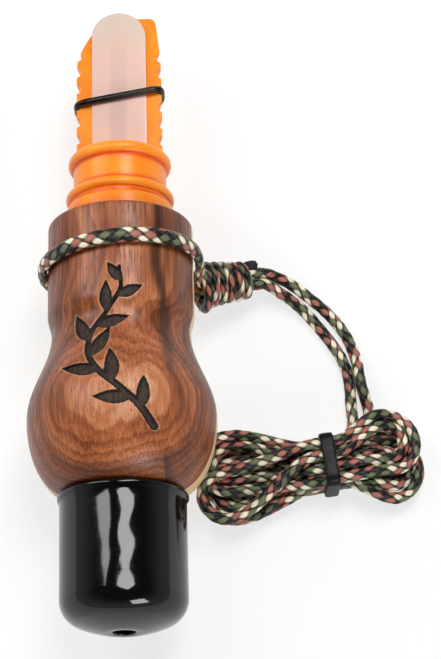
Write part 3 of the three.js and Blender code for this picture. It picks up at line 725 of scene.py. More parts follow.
def plastic_look(plastic):
    """Orange moulded plastic that lets some light through. Painted shade makes the collar's grooves and
    fillets a deeper red, and the toneboard is a little redder all over.
    """
    look = Look("orange_plastic", {
        "Specular IOR Level": 0.35,
        "Subsurface Weight": 0.3,
        "Subsurface Radius": (1.0, 0.3, 0.06),
        "Subsurface Scale": 0.002,
    })
    where = look.place()
    cloud = look.noise(where, scale=0.12, detail=2)
    fine = look.noise(where, scale=3.5, detail=3)
    bright = look.mix(look.ease(cloud, 0.3, 0.7), plastic.orange, plastic.bright)
    return look.dress({
        # The field deep holds the painted shade in the collar's grooves, drawn as a deeper red
        "Base Color": look.mix(look.field("deep"), bright, plastic.deep),
        "Roughness": look.ease(fine, 0.3, 0.7, 0.26, 0.36),
        "Normal": look.bump(fine, 0.06, 0.05),
    })


def reed_look(plastic):
    """Thin milky film, a little see-through, greyer at its tip, and with painted shade where it lies over
    the hollow channel.
    """
    look = Look("reed_film", {"Roughness": 0.3})
    where = look.place()
    x, y = look.split(where)[:2]
    cloud = look.noise(where, (0.4, 0.08, 0.4), detail=2)
    tip = look.ease(y + abs(x) * 0.6, 64, 75)
    film = look.mix(tip * 0.85, plastic.film, plastic.film_tip)
    # Painted shade of the hollow channel under the reed, fading towards the tip
    over = look.ease(abs(x + 0.2), 1.2, 2.6, 1.0, 0.0) * look.ease(y, 52, 70, 1.0, 0.15)
    return look.dress({
        "Base Color": look.mix(over * 0.42 + cloud * 0.08, film, plastic.channel),
        "Alpha": look.ease(cloud, 0.3, 0.7, 0.93, 0.96),
        "Normal": look.bump(cloud, 0.05, 0.1),
    })


def rubber_look(name, rubber, roughness, gloss):
    """Soft black rubber with a dull bloom, of a mean roughness and a level of gloss."""
    look = Look(name, {"Specular IOR Level": gloss})
    where = look.place()
    bloom = look.noise(where, scale=0.5, detail=3)
    fine = look.noise(where, scale=5.0, detail=2)
    return look.dress({
        "Base Color": look.mix(look.ease(bloom, 0.4, 0.8), rubber.black, rubber.bloom),
        "Roughness": look.ease(bloom, 0.3, 0.7, roughness - 0.05, roughness + 0.06),
        "Normal": look.bump(fine, 0.15, 0.06),
    })


def braid_look(cord):
    """Eight yarns, four each way round. The UV map has turns round the cord and leads along it, so
    4 (u - v) counts the yarns of one way and 4 (u + v) those of the other. A yarn stands highest at
    its middle and where it passes over. What stands higher shows, in its yarn's colour, with
    painted shade towards its ends and in the seams between the stitches."""
    look = Look("braided_cord", {"Specular IOR Level": 0.32})
    u, v = look.split(look.node("ShaderNodeTexCoord", output="UV"))[:2]
    way_a, way_b = u * 4 - v * 4, u * 4 + v * 4
    ways = []
    for way, other, sign in ((way_a, way_b, 1), (way_b, way_a, -1)):
        count = look.math("FLOOR", way + 0.5)
        off = way - count
        wave = look.math("COSINE", (other + count) * math.pi)
        thread = look.node("ShaderNodeCombineXYZ", None, {0: off * 13, 1: other * 1.3, 2: count * 7.3})
        edge = look.math("MAXIMUM", abs(off) - YARN_EDGE, 0.0)
        high = off * off * -YARN_ROUND - edge * YARN_STEEP + wave * (sign * YARN_WAVE) + 1
        ways.append((count, high, look.noise(thread, detail=2)))
    (count_a, high_a, thread_a), (count_b, high_b, thread_b) = ways
    lead = high_a - high_b
    first_shows = look.ease(lead, -0.05, 0.05)
    shade_a = look.mix(look.math("GREATER_THAN", count_a % 4, 1.5), cord.cream, cord.black)
    shade_b = look.mix(look.math("GREATER_THAN", count_b % 4, 1.5), cord.brick, cord.olive)
    yarn = look.mix(first_shows, shade_b, shade_a)
    thread = thread_a * first_shows + thread_b * (1 - first_shows)
    top = look.math("MAXIMUM", high_a, high_b)
    stitch = look.node("ShaderNodeCombineXYZ", None, {0: count_a, 1: count_b, 2: 0.5})
    chance = look.node("ShaderNodeTexWhiteNoise", {"noise_dimensions": "3D"}, {"Vector": stitch})
    # Painted shade: each stitch darkens towards its ends and edges, with random tone per stitch and per
    # thread
    painted_shade_and_tone = look.ease(top, 0.8, 1.35, 0.72, 0.0) + chance * 0.12 + look.ease(thread, 0.3, 0.6, 0.18, 0.0)
    shaded = look.mix(look.math("MINIMUM", painted_shade_and_tone, 0.9), yarn, cord.gap)
    # Painted shade in the seams between the stitches, in the gap colour
    seam = look.ease(abs(lead), 0.03, 0.3) * look.ease(top, 0.25, 0.8)
    stitched = look.mix(seam, cord.gap, shaded)
    return look.dress({
        "Base Color": look.mix(look.field("burnt"), stitched, cord.melted),
        "Roughness": look.ease(thread, 0.3, 0.7, 0.25, 0.42),
        "Normal": look.bump(look.math("MAXIMUM", top, YARN_FLOOR) * 0.5 + thread * 0.5, 0.8, 0.2),
    })


# Sizes and colours that a user would change


class CordSettings(bpy.types.PropertyGroup):
    """Sizes and colours of the braided cord"""

    diameter: length("Diameter", 2.65, "Thickness of the round cord")
    loop_width: length("Loop width", 3.5, "Width of the flattened cord round the neck")
    loop_thickness: length("Loop thickness", 2.1, "Thickness of the flattened cord round the neck")
    lead: length("Lead", 13.0, "Length of cord in which a yarn goes once round")
    relief: length("Relief", 0.2, "How far the stitches stand out")
    around: IntProperty(name="Faces around", description="Faces round the cord", default=28, min=8)
    cream: colour("Cream", "FBF0D2", "Pale yarn")
    black: colour("Black", "161713", "Black yarn")
    brick: colour("Brick", "B26B5C", "Reddish yarn")
    olive: colour("Olive", "6C7452", "Green yarn")
    gap: colour("Gap", "0C0B09", "Shade between the stitches")
    melted: colour("Melted", "0B0B0A", "Melted end of the cord")


class WoodSettings(bpy.types.PropertyGroup):
    """Colours of the two woods and depth of the carving"""

    carving_depth: length("Carving depth", 0.75, "Depth of the carved sprig")
    dark: colour("Dark", "451E10", "Darkest walnut")
    middle: colour("Middle", "7B4020", "Middle walnut")
    warm: colour("Warm", "A86138", "Warm walnut")
    light: colour("Light", "CC9066", "Lightest walnut")
    streak: colour("Streak", "2E1810", "Dark streak")
    rim: colour("Rim", "D2A07A", "Raw edge of the carving")
    burnt: colour("Burnt", "150E0A", "Burnt floor of the carving")
    scorched: colour("Scorched", "3E2A1C", "Lighter middle of the burnt floor")
    maple: colour("Maple", "EBC99E", "Pale wood")
    maple_dark: colour("Maple dark", "D9AE7C", "Darker lines of the pale wood")


class CapSettings(bpy.types.PropertyGroup):
    """Colours and fineness of the end cap"""

    segments: IntProperty(name="Segments", description="Faces round the cap", default=144, min=12)
    black: colour("Black", "08080A", "Vinyl")
    dust: colour("Dust", "8A8A88", "Dust on the vinyl")


class PlasticSettings(bpy.types.PropertyGroup):
    """Colours and fineness of the mouthpiece"""

    segments: IntProperty(name="Segments", description="Faces round the collar", default=144, min=12)
    orange: colour("Orange", "F78C1A", "Orange plastic")
    bright: colour("Bright", "FB9C28", "Brighter orange")
    # Painted shade in the collar's grooves, also the toneboard's slight red tint
    deep: colour("Deep", "E2481A", "Orange in the grooves")
    film: colour("Film", "E3BDAD", "Reed")
    film_tip: colour("Film tip", "D6C5B4", "Reed at its tip")
    # Painted shade of the hollow channel, seen through the reed
    channel: colour("Channel", "C2A0A0", "Reed over the channel")


class RubberSettings(bpy.types.PropertyGroup):
    """Colours and sizes of the rubber pieces"""

    band: length("Tuning band", 1.5, "Thickness of the tuning band")
    tie: length("Tie", 0.75, "Thickness of the hank's tie")
    tie_width: length("Tie width", 3.0, "Width of the hank's tie")
    black: colour("Black", "0A0A0A", "Rubber")
    bloom: colour("Bloom", "121211", "Dull bloom on the rubber")


class StageSettings(bpy.types.PropertyGroup):
    """Light and floor"""

    above: power("Above", 2.8, "Power of the light above")
    left: power("Left", 1.45, "Power of the light at the left")
    front: power("Front", 1.8, "Power of the light in front")
    horizon: FloatProperty(name="Horizon", description="Strength of the light from all round", default=0.45)
    zenith: FloatProperty(name="Zenith", description="Strength of the light from overhead", default=0.03)
    floor: colour("Floor", "F7F7F7", "Floor")


# Stage


def area_light(name, place, target, size, watts):
    """A rectangular soft light at a place, pointed at a target."""
    light = bpy.data.lights.new(name, "AREA")
    light.shape, light.size, light.size_y, light.energy = "RECTANGLE", size[0], size[1], watts
    lamp = placed(name, light)
    lamp.location = place
    lamp.visible_camera = False
    aim = np.array(target, float) - np.array(place, float)
    flat = math.hypot(aim[0], aim[1])
    lamp.rotation_euler = (math.atan2(flat, -aim[2]), 0, math.atan2(-aim[0], aim[1]))


class ELK_OT_stage(bpy.types.Operator):
    """Make the camera, the lights, the world and the floor"""

    bl_idname = "elk_call.stage"
    bl_label = "Stage"

    def execute(self, context):
        stage = context.scene.elk_stage
        context.scene.view_settings.view_transform = "Standard"
        self.camera(context.scene)
        for name, place, target, size in LIGHTS:
            area_light(name, place, target, size, getattr(stage, name))
        self.world(context.scene, stage)
        self.floor(stage)
        return {"FINISHED"}

    def camera(self, scene):
        """The camera where the photograph was taken, whose sensor spans the photograph's height."""
        camera = bpy.data.cameras.new("camera")
        camera.sensor_width = 36
        camera.lens = camera.sensor_width * FOCAL_LENGTH / PHOTO_HEIGHT
        camera.clip_start = 0.01
        view = placed("camera", camera)
        view.location = CAMERA_PLACE
        view.rotation_euler = CAMERA_TURN
        scene.camera = view

    def world(self, scene, stage):
        """Light that eases from the horizon up to the zenith, seen as plain white."""
        world = bpy.data.worlds.new("studio")
        world.use_nodes = True
        scene.world = world
        sky = Nodes(world.node_tree)
        up = sky.split(sky.node("ShaderNodeTexCoord", output="Generated"))[2]
        glow = sky.ease(up, 0.15, 0.8, stage.horizon, stage.zenith)
        seen = sky.node("ShaderNodeLightPath", output="Is Camera Ray")
        strength = seen + (1 - seen) * glow
        sky.feed(sky.tree.nodes["Background"], {"Color": WHITE, "Strength": strength})

    def floor(self, stage):
        """A large flat floor just below the part. What the camera sees of it is mostly plain white
        near the part, and wholly so away from it."""
        reach = 3.0
        corners = [(-reach, -reach), (reach, -reach), (reach, reach), (-reach, reach)]
        mesh = bpy.data.meshes.new("floor")
        mesh.from_pydata([(x, y, -MM / 10) for x, y in corners], [], [(0, 1, 2, 3)])
        look = Look("floor", {"Roughness": 0.9, "Base Color": stage.floor})
        x, y = look.split(look.place())[:2]
        far = look.math("SQRT", x * x + y * y)
        seen = look.node("ShaderNodeLightPath", output="Is Camera Ray")
        seen = seen + look.node("ShaderNodeLightPath", output="Is Glossy Ray")
        share = seen * look.ease(far, 70, 220, 0.7, 1.0)
        shaded = Value(look, look.shader.outputs[0])
        lit = look.node("ShaderNodeEmission", None, {"Color": WHITE, "Strength": 1.0})
        part = look.node("ShaderNodeMixShader", None, {0: share, 1: shaded, 2: lit})
        look.feed(look.tree.nodes["Material Output"], {"Surface": part})
        mesh.materials.append(look.material)
        placed("floor", mesh)


# Cord


def beyond_tie(a):
    """Distance along the hank from the edge of the tie, and 0 under it."""
    return np.maximum(np.abs(a - TIE_PLACE) - TIE_WIDTH / 2, 0)


def hank_point(a, b, level):
    """Points of the hank: layers lie on each other. A bell curve lifts them at the tie, half a cosine
    wave lowers them at the right, and the bight's far side slopes down."""
    a, b, level = (np.atleast_1d(v).astype(float) for v in np.broadcast_arrays(a, b, level))
    lift = TIE_LIFT * np.exp(-((beyond_tie(a) / TIE_LIFT_REACH) ** 2))
    droop = DROOP * smooth((a - DROOP_START) / DROOP_REACH)
    hang = BIGHT_DROOP * np.maximum(0, BIGHT_EDGE - b)
    return np.stack([a, b, RUN_HALF + level * HANK_LAYER + lift - droop - hang], axis=-1)


def waist_half(nest):
    """How far a run lies from the hank's middle line at its waist: 0 is the inner one, 1 the outer."""
    return WAIST_PITCH * (nest + 0.5)


def fold_radius(nest):
    """The radius of the inner or the outer fold at the hank's ends."""
    return FOLD_RADIUS + HANK_PITCH * nest


FOLD_OUTER = FOLD_RADIUS + HANK_PITCH
RIGHT_CENTRE = HANK_RIGHT - FOLD_OUTER
LEFT_CENTRE = FOLD_OUTER - HANK_LEFT


def run_places(right, left, steps=6):
    """Places along a run from right to left, with one wide step through the tie."""
    return np.concatenate([
        np.linspace(right, TIE_PLACE + TIE_WIDTH / 2, steps + 1),
        np.linspace(TIE_PLACE - TIE_WIDTH / 2, left, steps + 1),
    ])


def run_points(nest, a, side, shift, level):
    """A run drawn in to the waist at the tie, which spreads by half a cosine wave to its fold."""
    centre = np.where(a > TIE_PLACE, RIGHT_CENTRE, LEFT_CENTRE)
    spread = smooth(beyond_tie(a) / beyond_tie(centre))
    half = waist_half(nest) + (fold_radius(nest) - waist_half(nest)) * spread
    return hank_point(a, side * half + shift * spread, level)


def fold_points(nest, side, shift, level, steps=10):
    """Half a circle round the right (side 1) or left (side -1) end of the hank."""
    centre = RIGHT_CENTRE if side > 0 else LEFT_CENTRE
    turn = np.pi * np.arange(1, steps) / steps
    radius = fold_radius(nest)
    return hank_point(centre + side * radius * np.sin(turn), shift - side * radius * np.cos(turn), level)


def entry_points(nest):
    """A bend with two straight legs by which a strand comes in and joins its first run."""
    corner = np.array([ENTRY_CORNERS[nest], waist_half(nest)])
    out = np.array([math.cos(ENTRY_ANGLE), math.sin(ENTRY_ANGLE)])
    start, end = corner + out * ENTRY_LEG, corner - np.array([ENTRY_LEG, 0])
    flat = np.vstack([start + out * ENTRY_LEAD, bent(start, corner, end, 6)])
    return hank_point(flat[:, 0], flat[:, 1], 0)


def strand_in_hank(nest):
    """One of the doubled cord's strands, from its entry to the start of the last bight."""
    parts = [entry_points(nest)]
    entry_end = ENTRY_CORNERS[nest] - ENTRY_LEG
    for layer in range(HANK_LAYERS):
        last = layer == HANK_LAYERS - 1
        sway = HANK_SWAY if layer % 2 == 0 else -HANK_SWAY
        left_shift = LEFT_SHIFT + sway
        a = run_places(RIGHT_CENTRE, BIGHT_A if last else LEFT_CENTRE)
        points = run_points(nest, a, 1, np.where(a > TIE_PLACE, -sway, left_shift), layer)
        if last:
            goal = BIGHT_B + (BIGHT_RADIUS if nest == 1 else -BIGHT_RADIUS)
            share = smooth(beyond_tie(a) / beyond_tie(np.array(BIGHT_A)))
            crossing = hank_point(a, waist_half(nest) + (goal - waist_half(nest)) * share, layer)
            points = np.where((a < TIE_PLACE)[:, None], crossing, points)
        elif layer == 0:
            points = points[a < entry_end]
        parts.append(points)
        if not last:
            parts.append(fold_points(nest, -1, left_shift, layer))
            a = run_places(RIGHT_CENTRE, LEFT_CENTRE)[::-1]
            level = layer + smooth((a - CLIMB_START) / (RIGHT_CENTRE - CLIMB_START))
            parts.append(run_points(nest, a, -1, np.where(a > TIE_PLACE, sway, left_shift), level))
            parts.append(fold_points(nest, 1, sway, layer + 1))
    return np.vstack(parts)


def from_hank(points):
    """Points of the hank in the lanyard's frame: turned about Z and moved."""
    cos, sin = math.cos(HANK_TURN), math.sin(HANK_TURN)
    turn = np.array([[cos, sin, 0], [-sin, cos, 0], [0, 0, 1]])
    return points @ turn + HANK_MIDDLE


KNOT_LENGTH = float(np.linalg.norm(KNOT_END - KNOT_START))
KNOT_AXIS = unit(KNOT_END - KNOT_START)
KNOT_SIDE = unit(np.cross([0, 0, 1], KNOT_AXIS))
KNOT_UP = np.cross(KNOT_AXIS, KNOT_SIDE)


def knot_point(along, radius, angle):
    """Points about the knot's axis: along it, away from it, and round it from its side."""
    parts = np.broadcast_arrays(along, radius, angle)
    along, radius, angle = (np.atleast_1d(part).astype(float)[:, None] for part in parts)
    away = KNOT_SIDE * radius * np.cos(angle) + KNOT_UP * radius * np.sin(angle)
    return KNOT_START + KNOT_AXIS * along + away


def lanyard_path():
    """The doubled cord from the knot, through the hank and its bight, and back to the knot."""
    turn = np.pi * np.arange(1, 10) / 10
    a, b = BIGHT_A - BIGHT_RADIUS * np.sin(turn), BIGHT_B + BIGHT_RADIUS * np.cos(turn)
    bight = hank_point(a, b, HANK_LAYERS - 1)
    inner, outer = strand_in_hank(0), strand_in_hank(1)
    hank = from_hank(np.vstack([inner, bight[::-1], outer[::-1]]))
    start = knot_point(KNOT_LENGTH + STRAND_PLACES, STRAND_APART, 0)
    end = knot_point(KNOT_LENGTH + STRAND_PLACES[::-1], -STRAND_APART, 0)
    control = np.vstack([start, STRAND_OUT, hank, STRAND_BACK[::-1], end])
    return softened(even(curve_through(control), CORD_STEP), 4)


def braid_height(u, v):
    """Height of the braid's surface, from turns round the cord and leads along it: the higher of
    two sets of yarns, each 1 less a multiple of the squared distance from its yarn's middle, less a
    slope beyond its edge, plus a cosine wave that is highest where the yarn passes over."""
    way_a, way_b = 4 * (u - v), 4 * (u + v)
    count_a, count_b = np.floor(way_a + 0.5), np.floor(way_b + 0.5)
    off_a, off_b = np.abs(way_a - count_a), np.abs(way_b - count_b)
    high_a = 1 - YARN_ROUND * off_a**2 - YARN_STEEP * np.maximum(off_a - YARN_EDGE, 0)
    high_b = 1 - YARN_ROUND * off_b**2 - YARN_STEEP * np.maximum(off_b - YARN_EDGE, 0)
    high_a = high_a + YARN_WAVE * np.cos(np.pi * (way_b + count_a))
    high_b = high_b - YARN_WAVE * np.cos(np.pi * (way_a + count_b))
    return np.maximum(np.maximum(high_a, high_b), YARN_FLOOR)


def braided_tube(name, path, outward, half_out, half_across, cord, look, burnt=None):
    """An oval section carried along a path: outward gives the direction in which half_out is
    measured. The braid's height stands on it, its yarns wander round it by two slow sine waves, and
    each end closes in a point."""
    rows, around = len(path), cord.around
    ahead = directions(path)
    out = unit(outward - ahead * (outward * ahead).sum(axis=1, keepdims=True))
    across = np.cross(ahead, out)
    along = arc_lengths(path)
    twist = sum(turns * np.sin(along / reach + start) for turns, reach, start in WANDER)
    j = np.arange(around + 1) / around
    u = j[None, :] + twist[:, None]
    v = np.repeat((along / (cord.lead / MM))[:, None], around + 1, axis=1)
    lift = ((braid_height(u, v) - YARN_MEAN) * cord.relief / MM)[:, :-1]
    angle = TURN * j[None, :-1]
    reach_out = np.cos(angle) * (np.reshape(half_out, (-1, 1)) + lift)
    reach_across = np.sin(angle) * (np.reshape(half_across, (-1, 1)) + lift)
    ring = path[:, None] + out[:, None] * reach_out[..., None] + across[:, None] * reach_across[..., None]
    ends = path[[0, -1]] + ahead[[0, -1]] * np.array([[-CORD_POINT], [CORD_POINT]])
    points = np.vstack([ring.reshape(-1, 3), ends])
    points[:, 2] = np.maximum(points[:, 2], TABLE_GAP)
    i = np.repeat(np.arange(rows - 1), around)
    k = np.tile(np.arange(around), rows - 1)
    corners = [(i, k), (i, k + 1), (i + 1, k + 1), (i + 1, k)]
    uv = np.stack([np.stack([u[corner], v[corner]], -1) for corner in corners], axis=1)
    first, last = np.arange(around), np.arange(around)[::-1] + (rows - 1) * around
    total = rows * around
    faces = [grid_faces(rows, around, False, True), fan(total, first[::-1]), fan(total + 1, last[::-1])]
    uvs = [uv, np.zeros((around, 3, 2)) + uv[0, 0], np.zeros((around, 3, 2)) + uv[-1, 0]]
    fields = {"burnt": np.zeros(len(points))}
    if burnt is not None:
        fields["burnt"][:total] = np.repeat(burnt, around)
        fields["burnt"][-1] = burnt[-1]
    return make_piece(name, on_lanyard(points), faces, look, "barrel", uvs, fields, 180)


class ELK_OT_cord(bpy.types.Operator):
    """Make the neck loop, the knot, the doubled cord with its hank, and the hank's tie"""

    bl_idname = "elk_call.cord"
    bl_label = "Neck cord"

    def execute(self, context):
        cord = context.scene.elk_cord
        look = braid_look(cord)
        half = cord.diameter / MM / 2
        path = lanyard_path()
        lanyard = braided_tube("lanyard_cord", path, np.array([[0.0, 0.0, 1.0]]), half, half, cord, look)
        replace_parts(lanyard, "cord_strand_out", "cord_strand_back", "cord_hank")
        loop = self.loop(cord, look)
        knot = self.knot(cord, look)
        tie = self.tie(context.scene.elk_rubber)
        lanyard_points = on_lanyard(path)[::4] * MM
        (on_lanyard(knot_point(KNOT_LENGTH, STRAND_APART, 0))[0] * MM).tolist()
        return {"FINISHED"}

    def loop(self, cord, look):
        """The flattened cord in a circle round the neck, which leans by a cosine wave. Its two legs
        bend in under the knot's wraps."""
        upper, lower = LOOP_LEGS
        angle = np.linspace(upper, lower + TURN, 48)
        across, lean = LOOP_RADIUS * np.cos(angle), LOOP_LEAN * np.cos(angle)
        ring = np.stack([across, lean, AXIS_HEIGHT + LOOP_RADIUS * np.sin(angle)], axis=1)
        start, end = knot_point(*UPPER_LEG, np.pi / 2), knot_point(*LOWER_LEG, -np.pi / 2)
        control = np.vstack([start, ring[0] + UPPER_BEND, ring, ring[-1] + LOWER_BEND, end])
        path = softened(even(curve_through(control), CORD_STEP), 3)
        outward = np.cross([0, 1.0, 0], directions(path))
        thick, wide = cord.loop_thickness / MM, cord.loop_width / MM
        loop = braided_tube("neck_cord", path, outward, thick / 2, wide / 2, cord, look)
        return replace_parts(loop, "neck_loop")

    def knot(self, cord, look):
        """Wraps round the knot's axis at a radius that falls evenly along it. The first ones stand
        out at one side by half a cosine wave. The cord's end leaves them, thins and is melted."""
        angle = np.linspace(WRAPS_FROM * TURN, WRAPS_TO * TURN, 320)
        share = (angle - angle[0]) / (angle[-1] - angle[0])
        bulge = WRAP_BULGE * (1 - np.cos(angle)) / 2 * np.exp(-((share / WRAP_FADE) ** 2))
        along = WRAPS_START + (KNOT_LENGTH - WRAPS_ROOM) * share
        wraps = knot_point(along, WRAP_RADIUS - WRAP_TAPER * share + bulge, angle)
        way = unit(np.array(TAIL_WAY) @ np.stack([KNOT_AXIS, KNOT_UP, KNOT_SIDE]))
        path = np.vstack([knot_point(*WRAPS_ROOT), wraps, wraps[-1] + np.outer(TAIL_PLACES, way)])
        path = softened(even(curve_through(path, 4), CORD_STEP), 3)
        axis = KNOT_START + KNOT_AXIS * ((path - KNOT_START) @ KNOT_AXIS)[:, None]
        left = arc_lengths(path)[-1] - arc_lengths(path)
        burnt = 1 - smooth((left - MELTED_TO) / MELTED_FADE)
        half = cord.diameter / MM / 2 * (1 - THINNING * (1 - smooth(left / THINNED_TO)))
        thick, wide = (half * share for share in KNOT_PRESSED)
        knot = braided_tube("knot_cord", path, path - axis, thick, wide, cord, look, burnt)
        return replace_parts(knot, "knot_wraps", "knot_core")

    def tie(self, rubber):
        """A flat band with round edges, carried round the hank's waist on a rounded rectangle."""
        thick, width = rubber.tie / MM, rubber.tie_width / MM
        half, bottom = waist_half(1), RUN_HALF + TIE_LIFT
        top = bottom + (HANK_LAYERS - 1) * HANK_LAYER
        reach = RUN_HALF + TIE_CLEARANCE + thick / 2
        quarters = [(half, bottom, -90), (half, top, 0), (-half, top, 90), (-half, bottom, 180)]
        outline = np.vstack([
            arc(b, z, reach, math.radians(start), math.radians(start + 90), 8) for b, z, start in quarters
        ])
        outline = even(np.vstack([outline, outline[:1]]), 0.4)[:-1]
        turn = TURN * (np.arange(28) + 0.5) / 28
        wide, deep = squarer(np.sin(turn), 0.55) * width / 2, squarer(np.cos(turn), 0.55) * thick / 2
        path = np.insert(outline, 0, TIE_PLACE, axis=1)
        points, faces = carried(path, [1.0, 0.0, 0.0], np.stack([wide, deep], axis=1))
        look = rubber_look("tie_rubber", rubber, 0.4, 0.15)
        piece = make_piece("hank_band", on_lanyard(from_hank(points)), faces, look, "barrel")
        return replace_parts(piece, "hank_tie")


# Barrel

# The sprig's stem, as places across and along the barrel, its half-width at its foot and how much
# narrower it is at its tip
STEM = [
    [7.5, 39.5], [4.6, 43.6], [0.4, 47.6], [-4.2, 52.0], [-6.6, 57.2], [-5.6, 62.6], [-2.2, 67.4],
    [0.6, 72.0], [0.4, 77.0],
]
STEM_HALF = 1.0
STEM_THINNING = 0.5

# Leaves of the sprig: place along the stem from 0 to 1, side, length, greatest half-width and how
# far it leans away from the stem, in degrees. Then how far a leaf bends and its half-width at its foot
LEAVES = [
    (0.10, 1, 7.6, 1.35, 50), (0.17, -1, 8.4, 1.45, 46), (0.29, 1, 8.8, 1.55, 52),
    (0.38, -1, 8.6, 1.5, 44), (0.48, 1, 8.8, 1.55, 56), (0.58, -1, 7.6, 1.4, 42),
    (0.67, 1, 7.8, 1.4, 48), (0.76, -1, 7.0, 1.3, 44), (0.85, 1, 6.2, 1.2, 44),
    (0.93, -1, 5.4, 1.1, 40),
]
LEAF_BEND = 0.9
LEAF_FOOT = 0.3


def barrel_radius(along):
    """The barrel's outside: a quarter of an oval to the bulb's top, then half cosine waves down to
    the waist and up to the neck."""
    reach = np.clip((BULB_AT - along) / BULB_REACH, 0, 1)
    bulb = BULB_RADIUS - BULB_DEPTH * (1 - np.sqrt(1 - reach**2))
    fall = eased(along, BULB_AT, WAIST_AT, BULB_RADIUS, WAIST_RADIUS)
    rise = eased(along, WAIST_AT, NECK_AT, WAIST_RADIUS, NECK_RADIUS)
    return np.where(along < BULB_AT, bulb, np.where(along < WAIST_AT, fall, rise))


def carving(x, along):
    """How far inside the carved sprig a point is, in millimetres, and below 0 outside it. The stem
    is a line that thins towards its tip. A leaf's half-width is a sine wave along it, and its middle
    line bends by a square. Small waves make the edges ragged."""
    stem = curve_through(STEM, 12)
    places = arc_lengths(stem) / arc_lengths(stem)[-1]
    spots = np.stack([x.ravel(), along.ravel()], axis=1)
    apart = np.linalg.norm(spots[:, None, :] - stem[None, :, :], axis=2)
    inside = STEM_HALF - STEM_THINNING * places[apart.argmin(axis=1)] - apart.min(axis=1)
    ahead = unit(np.gradient(stem, axis=0))
    for place, side, reach, widest, lean in LEAVES:
        root = np.array([np.interp(place, places, stem[:, k]) for k in range(2)])
        way = np.array([np.interp(place, places, ahead[:, k]) for k in range(2)])
        cos, sin = math.cos(math.radians(lean)), -side * math.sin(math.radians(lean))
        axis = np.array([way[0] * cos - way[1] * sin, way[0] * sin + way[1] * cos])
        off = spots - root
        p = off @ axis / reach
        share = np.clip(p, 0, 1)
        q = off[:, 0] * -axis[1] + off[:, 1] * axis[0] - side * LEAF_BEND * share**2
        half = widest * np.sin(np.pi * share**0.8) + LEAF_FOOT * (1 - share)
        beyond = np.maximum(-p, p - 1) * reach
        inside = np.maximum(inside, np.where(beyond > 0, -np.hypot(beyond, q), half - np.abs(q)))
    ragged = np.sin(spots[:, 0] * 5.1 + np.sin(spots[:, 1] * 2.3)) * np.sin(spots[:, 1] * 4.3 + 1.0)
    return (inside + CARVED_RAGGED * ragged).reshape(x.shape)


class ELK_OT_barrel(bpy.types.Operator):
    """Make the two staves of the barrel, with the sprig carved into the upper one"""

    bl_idname = "elk_call.barrel"
    bl_label = "Barrel"

    def execute(self, context):
        wood = context.scene.elk_wood
        shoulder = CAP_LENGTH + SEAT
        outside = np.unique(np.round(np.concatenate([
            shoulder + np.linspace(0, 1, 14) ** 2 * (CARVED_FROM - shoulder),
            np.arange(CARVED_FROM, CARVED_TO, CARVED_STEP),
            np.linspace(CARVED_TO, MOUTH_AT - MOUTH_ROUND, 12),
        ]), 4))
        before = np.vstack([[[BORE, SPIGOT_END]], straight(SPIGOT_RADIUS, SPIGOT_END, shoulder, 7)])
        outline = np.vstack([
            before,
            np.stack([barrel_radius(outside), outside], axis=1),
            arc(NECK_RADIUS - MOUTH_ROUND, MOUTH_AT - MOUTH_ROUND, MOUTH_ROUND, 0, np.pi / 2, 6)[1:],
            [[COUNTERBORE, MOUTH_AT], [COUNTERBORE, TENON_END - SEAT]],
            straight(BORE, TENON_END - SEAT, SPIGOT_END, 11)[:-1],
        ])
        carved = slice(len(before), len(before) + len(outside))
        depth = wood.carving_depth / MM
        self.stave(outline, carved, depth, "walnut_barrel", walnut_look(wood), "walnut", "walnut_stave")
        self.stave(outline, carved, 0, "maple_barrel", maple_look(wood), "maple", "maple_stave")
        return {"FINISHED"}

    def stave(self, outline, carved, cut, name, look, slot, node):
        """The outline turned about the axis, over the part of the turn at one side of the flat seam:
        at each radius the half turn is the arc cosine of the seam's distance over the radius. The
        stave that is cut has more columns, closer together towards its sides, and is lowered at the
        carving by half a cosine wave from the sprig's edge inwards."""
        columns = WALNUT_COLUMNS if cut else MAPLE_COLUMNS
        u = np.linspace(-1, 1, columns)
        if cut:
            u = u + COLUMNS_PRESSED * np.sin(np.pi * u)
        radius, along = outline[:, :1], outline[:, 1:]
        middle, distance = (SEAM_ANGLE, SEAM_DISTANCE) if cut else (SEAM_ANGLE + np.pi, -SEAM_DISTANCE)
        theta = middle + u[None, :] * np.arccos((distance + SEAM_HALF_GAP) / radius)
        depth = np.zeros_like(theta)
        inside = np.full(theta.shape, -1.0)
        if cut:
            x = radius[carved] * np.cos(theta[carved])
            inside[carved] = carving(x, np.broadcast_to(along[carved], x.shape))
            wall = (inside[carved] - WALL_START) / (WALL_END - WALL_START)
            depth[carved] = cut * smooth(wall)
        r = radius - depth
        points = on_call(r * np.cos(theta), along, r * np.sin(theta)).reshape(-1, 3)
        edge = np.arange(len(outline))[None, :] * columns
        faces = [grid_faces(len(outline), columns, True, False), edge, edge[:, ::-1] + columns - 1]
        fields = {"carve": np.clip(inside, -1, 1)}
        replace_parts(make_piece(name, points, faces, look, "barrel", fields=fields), node)


# End cap


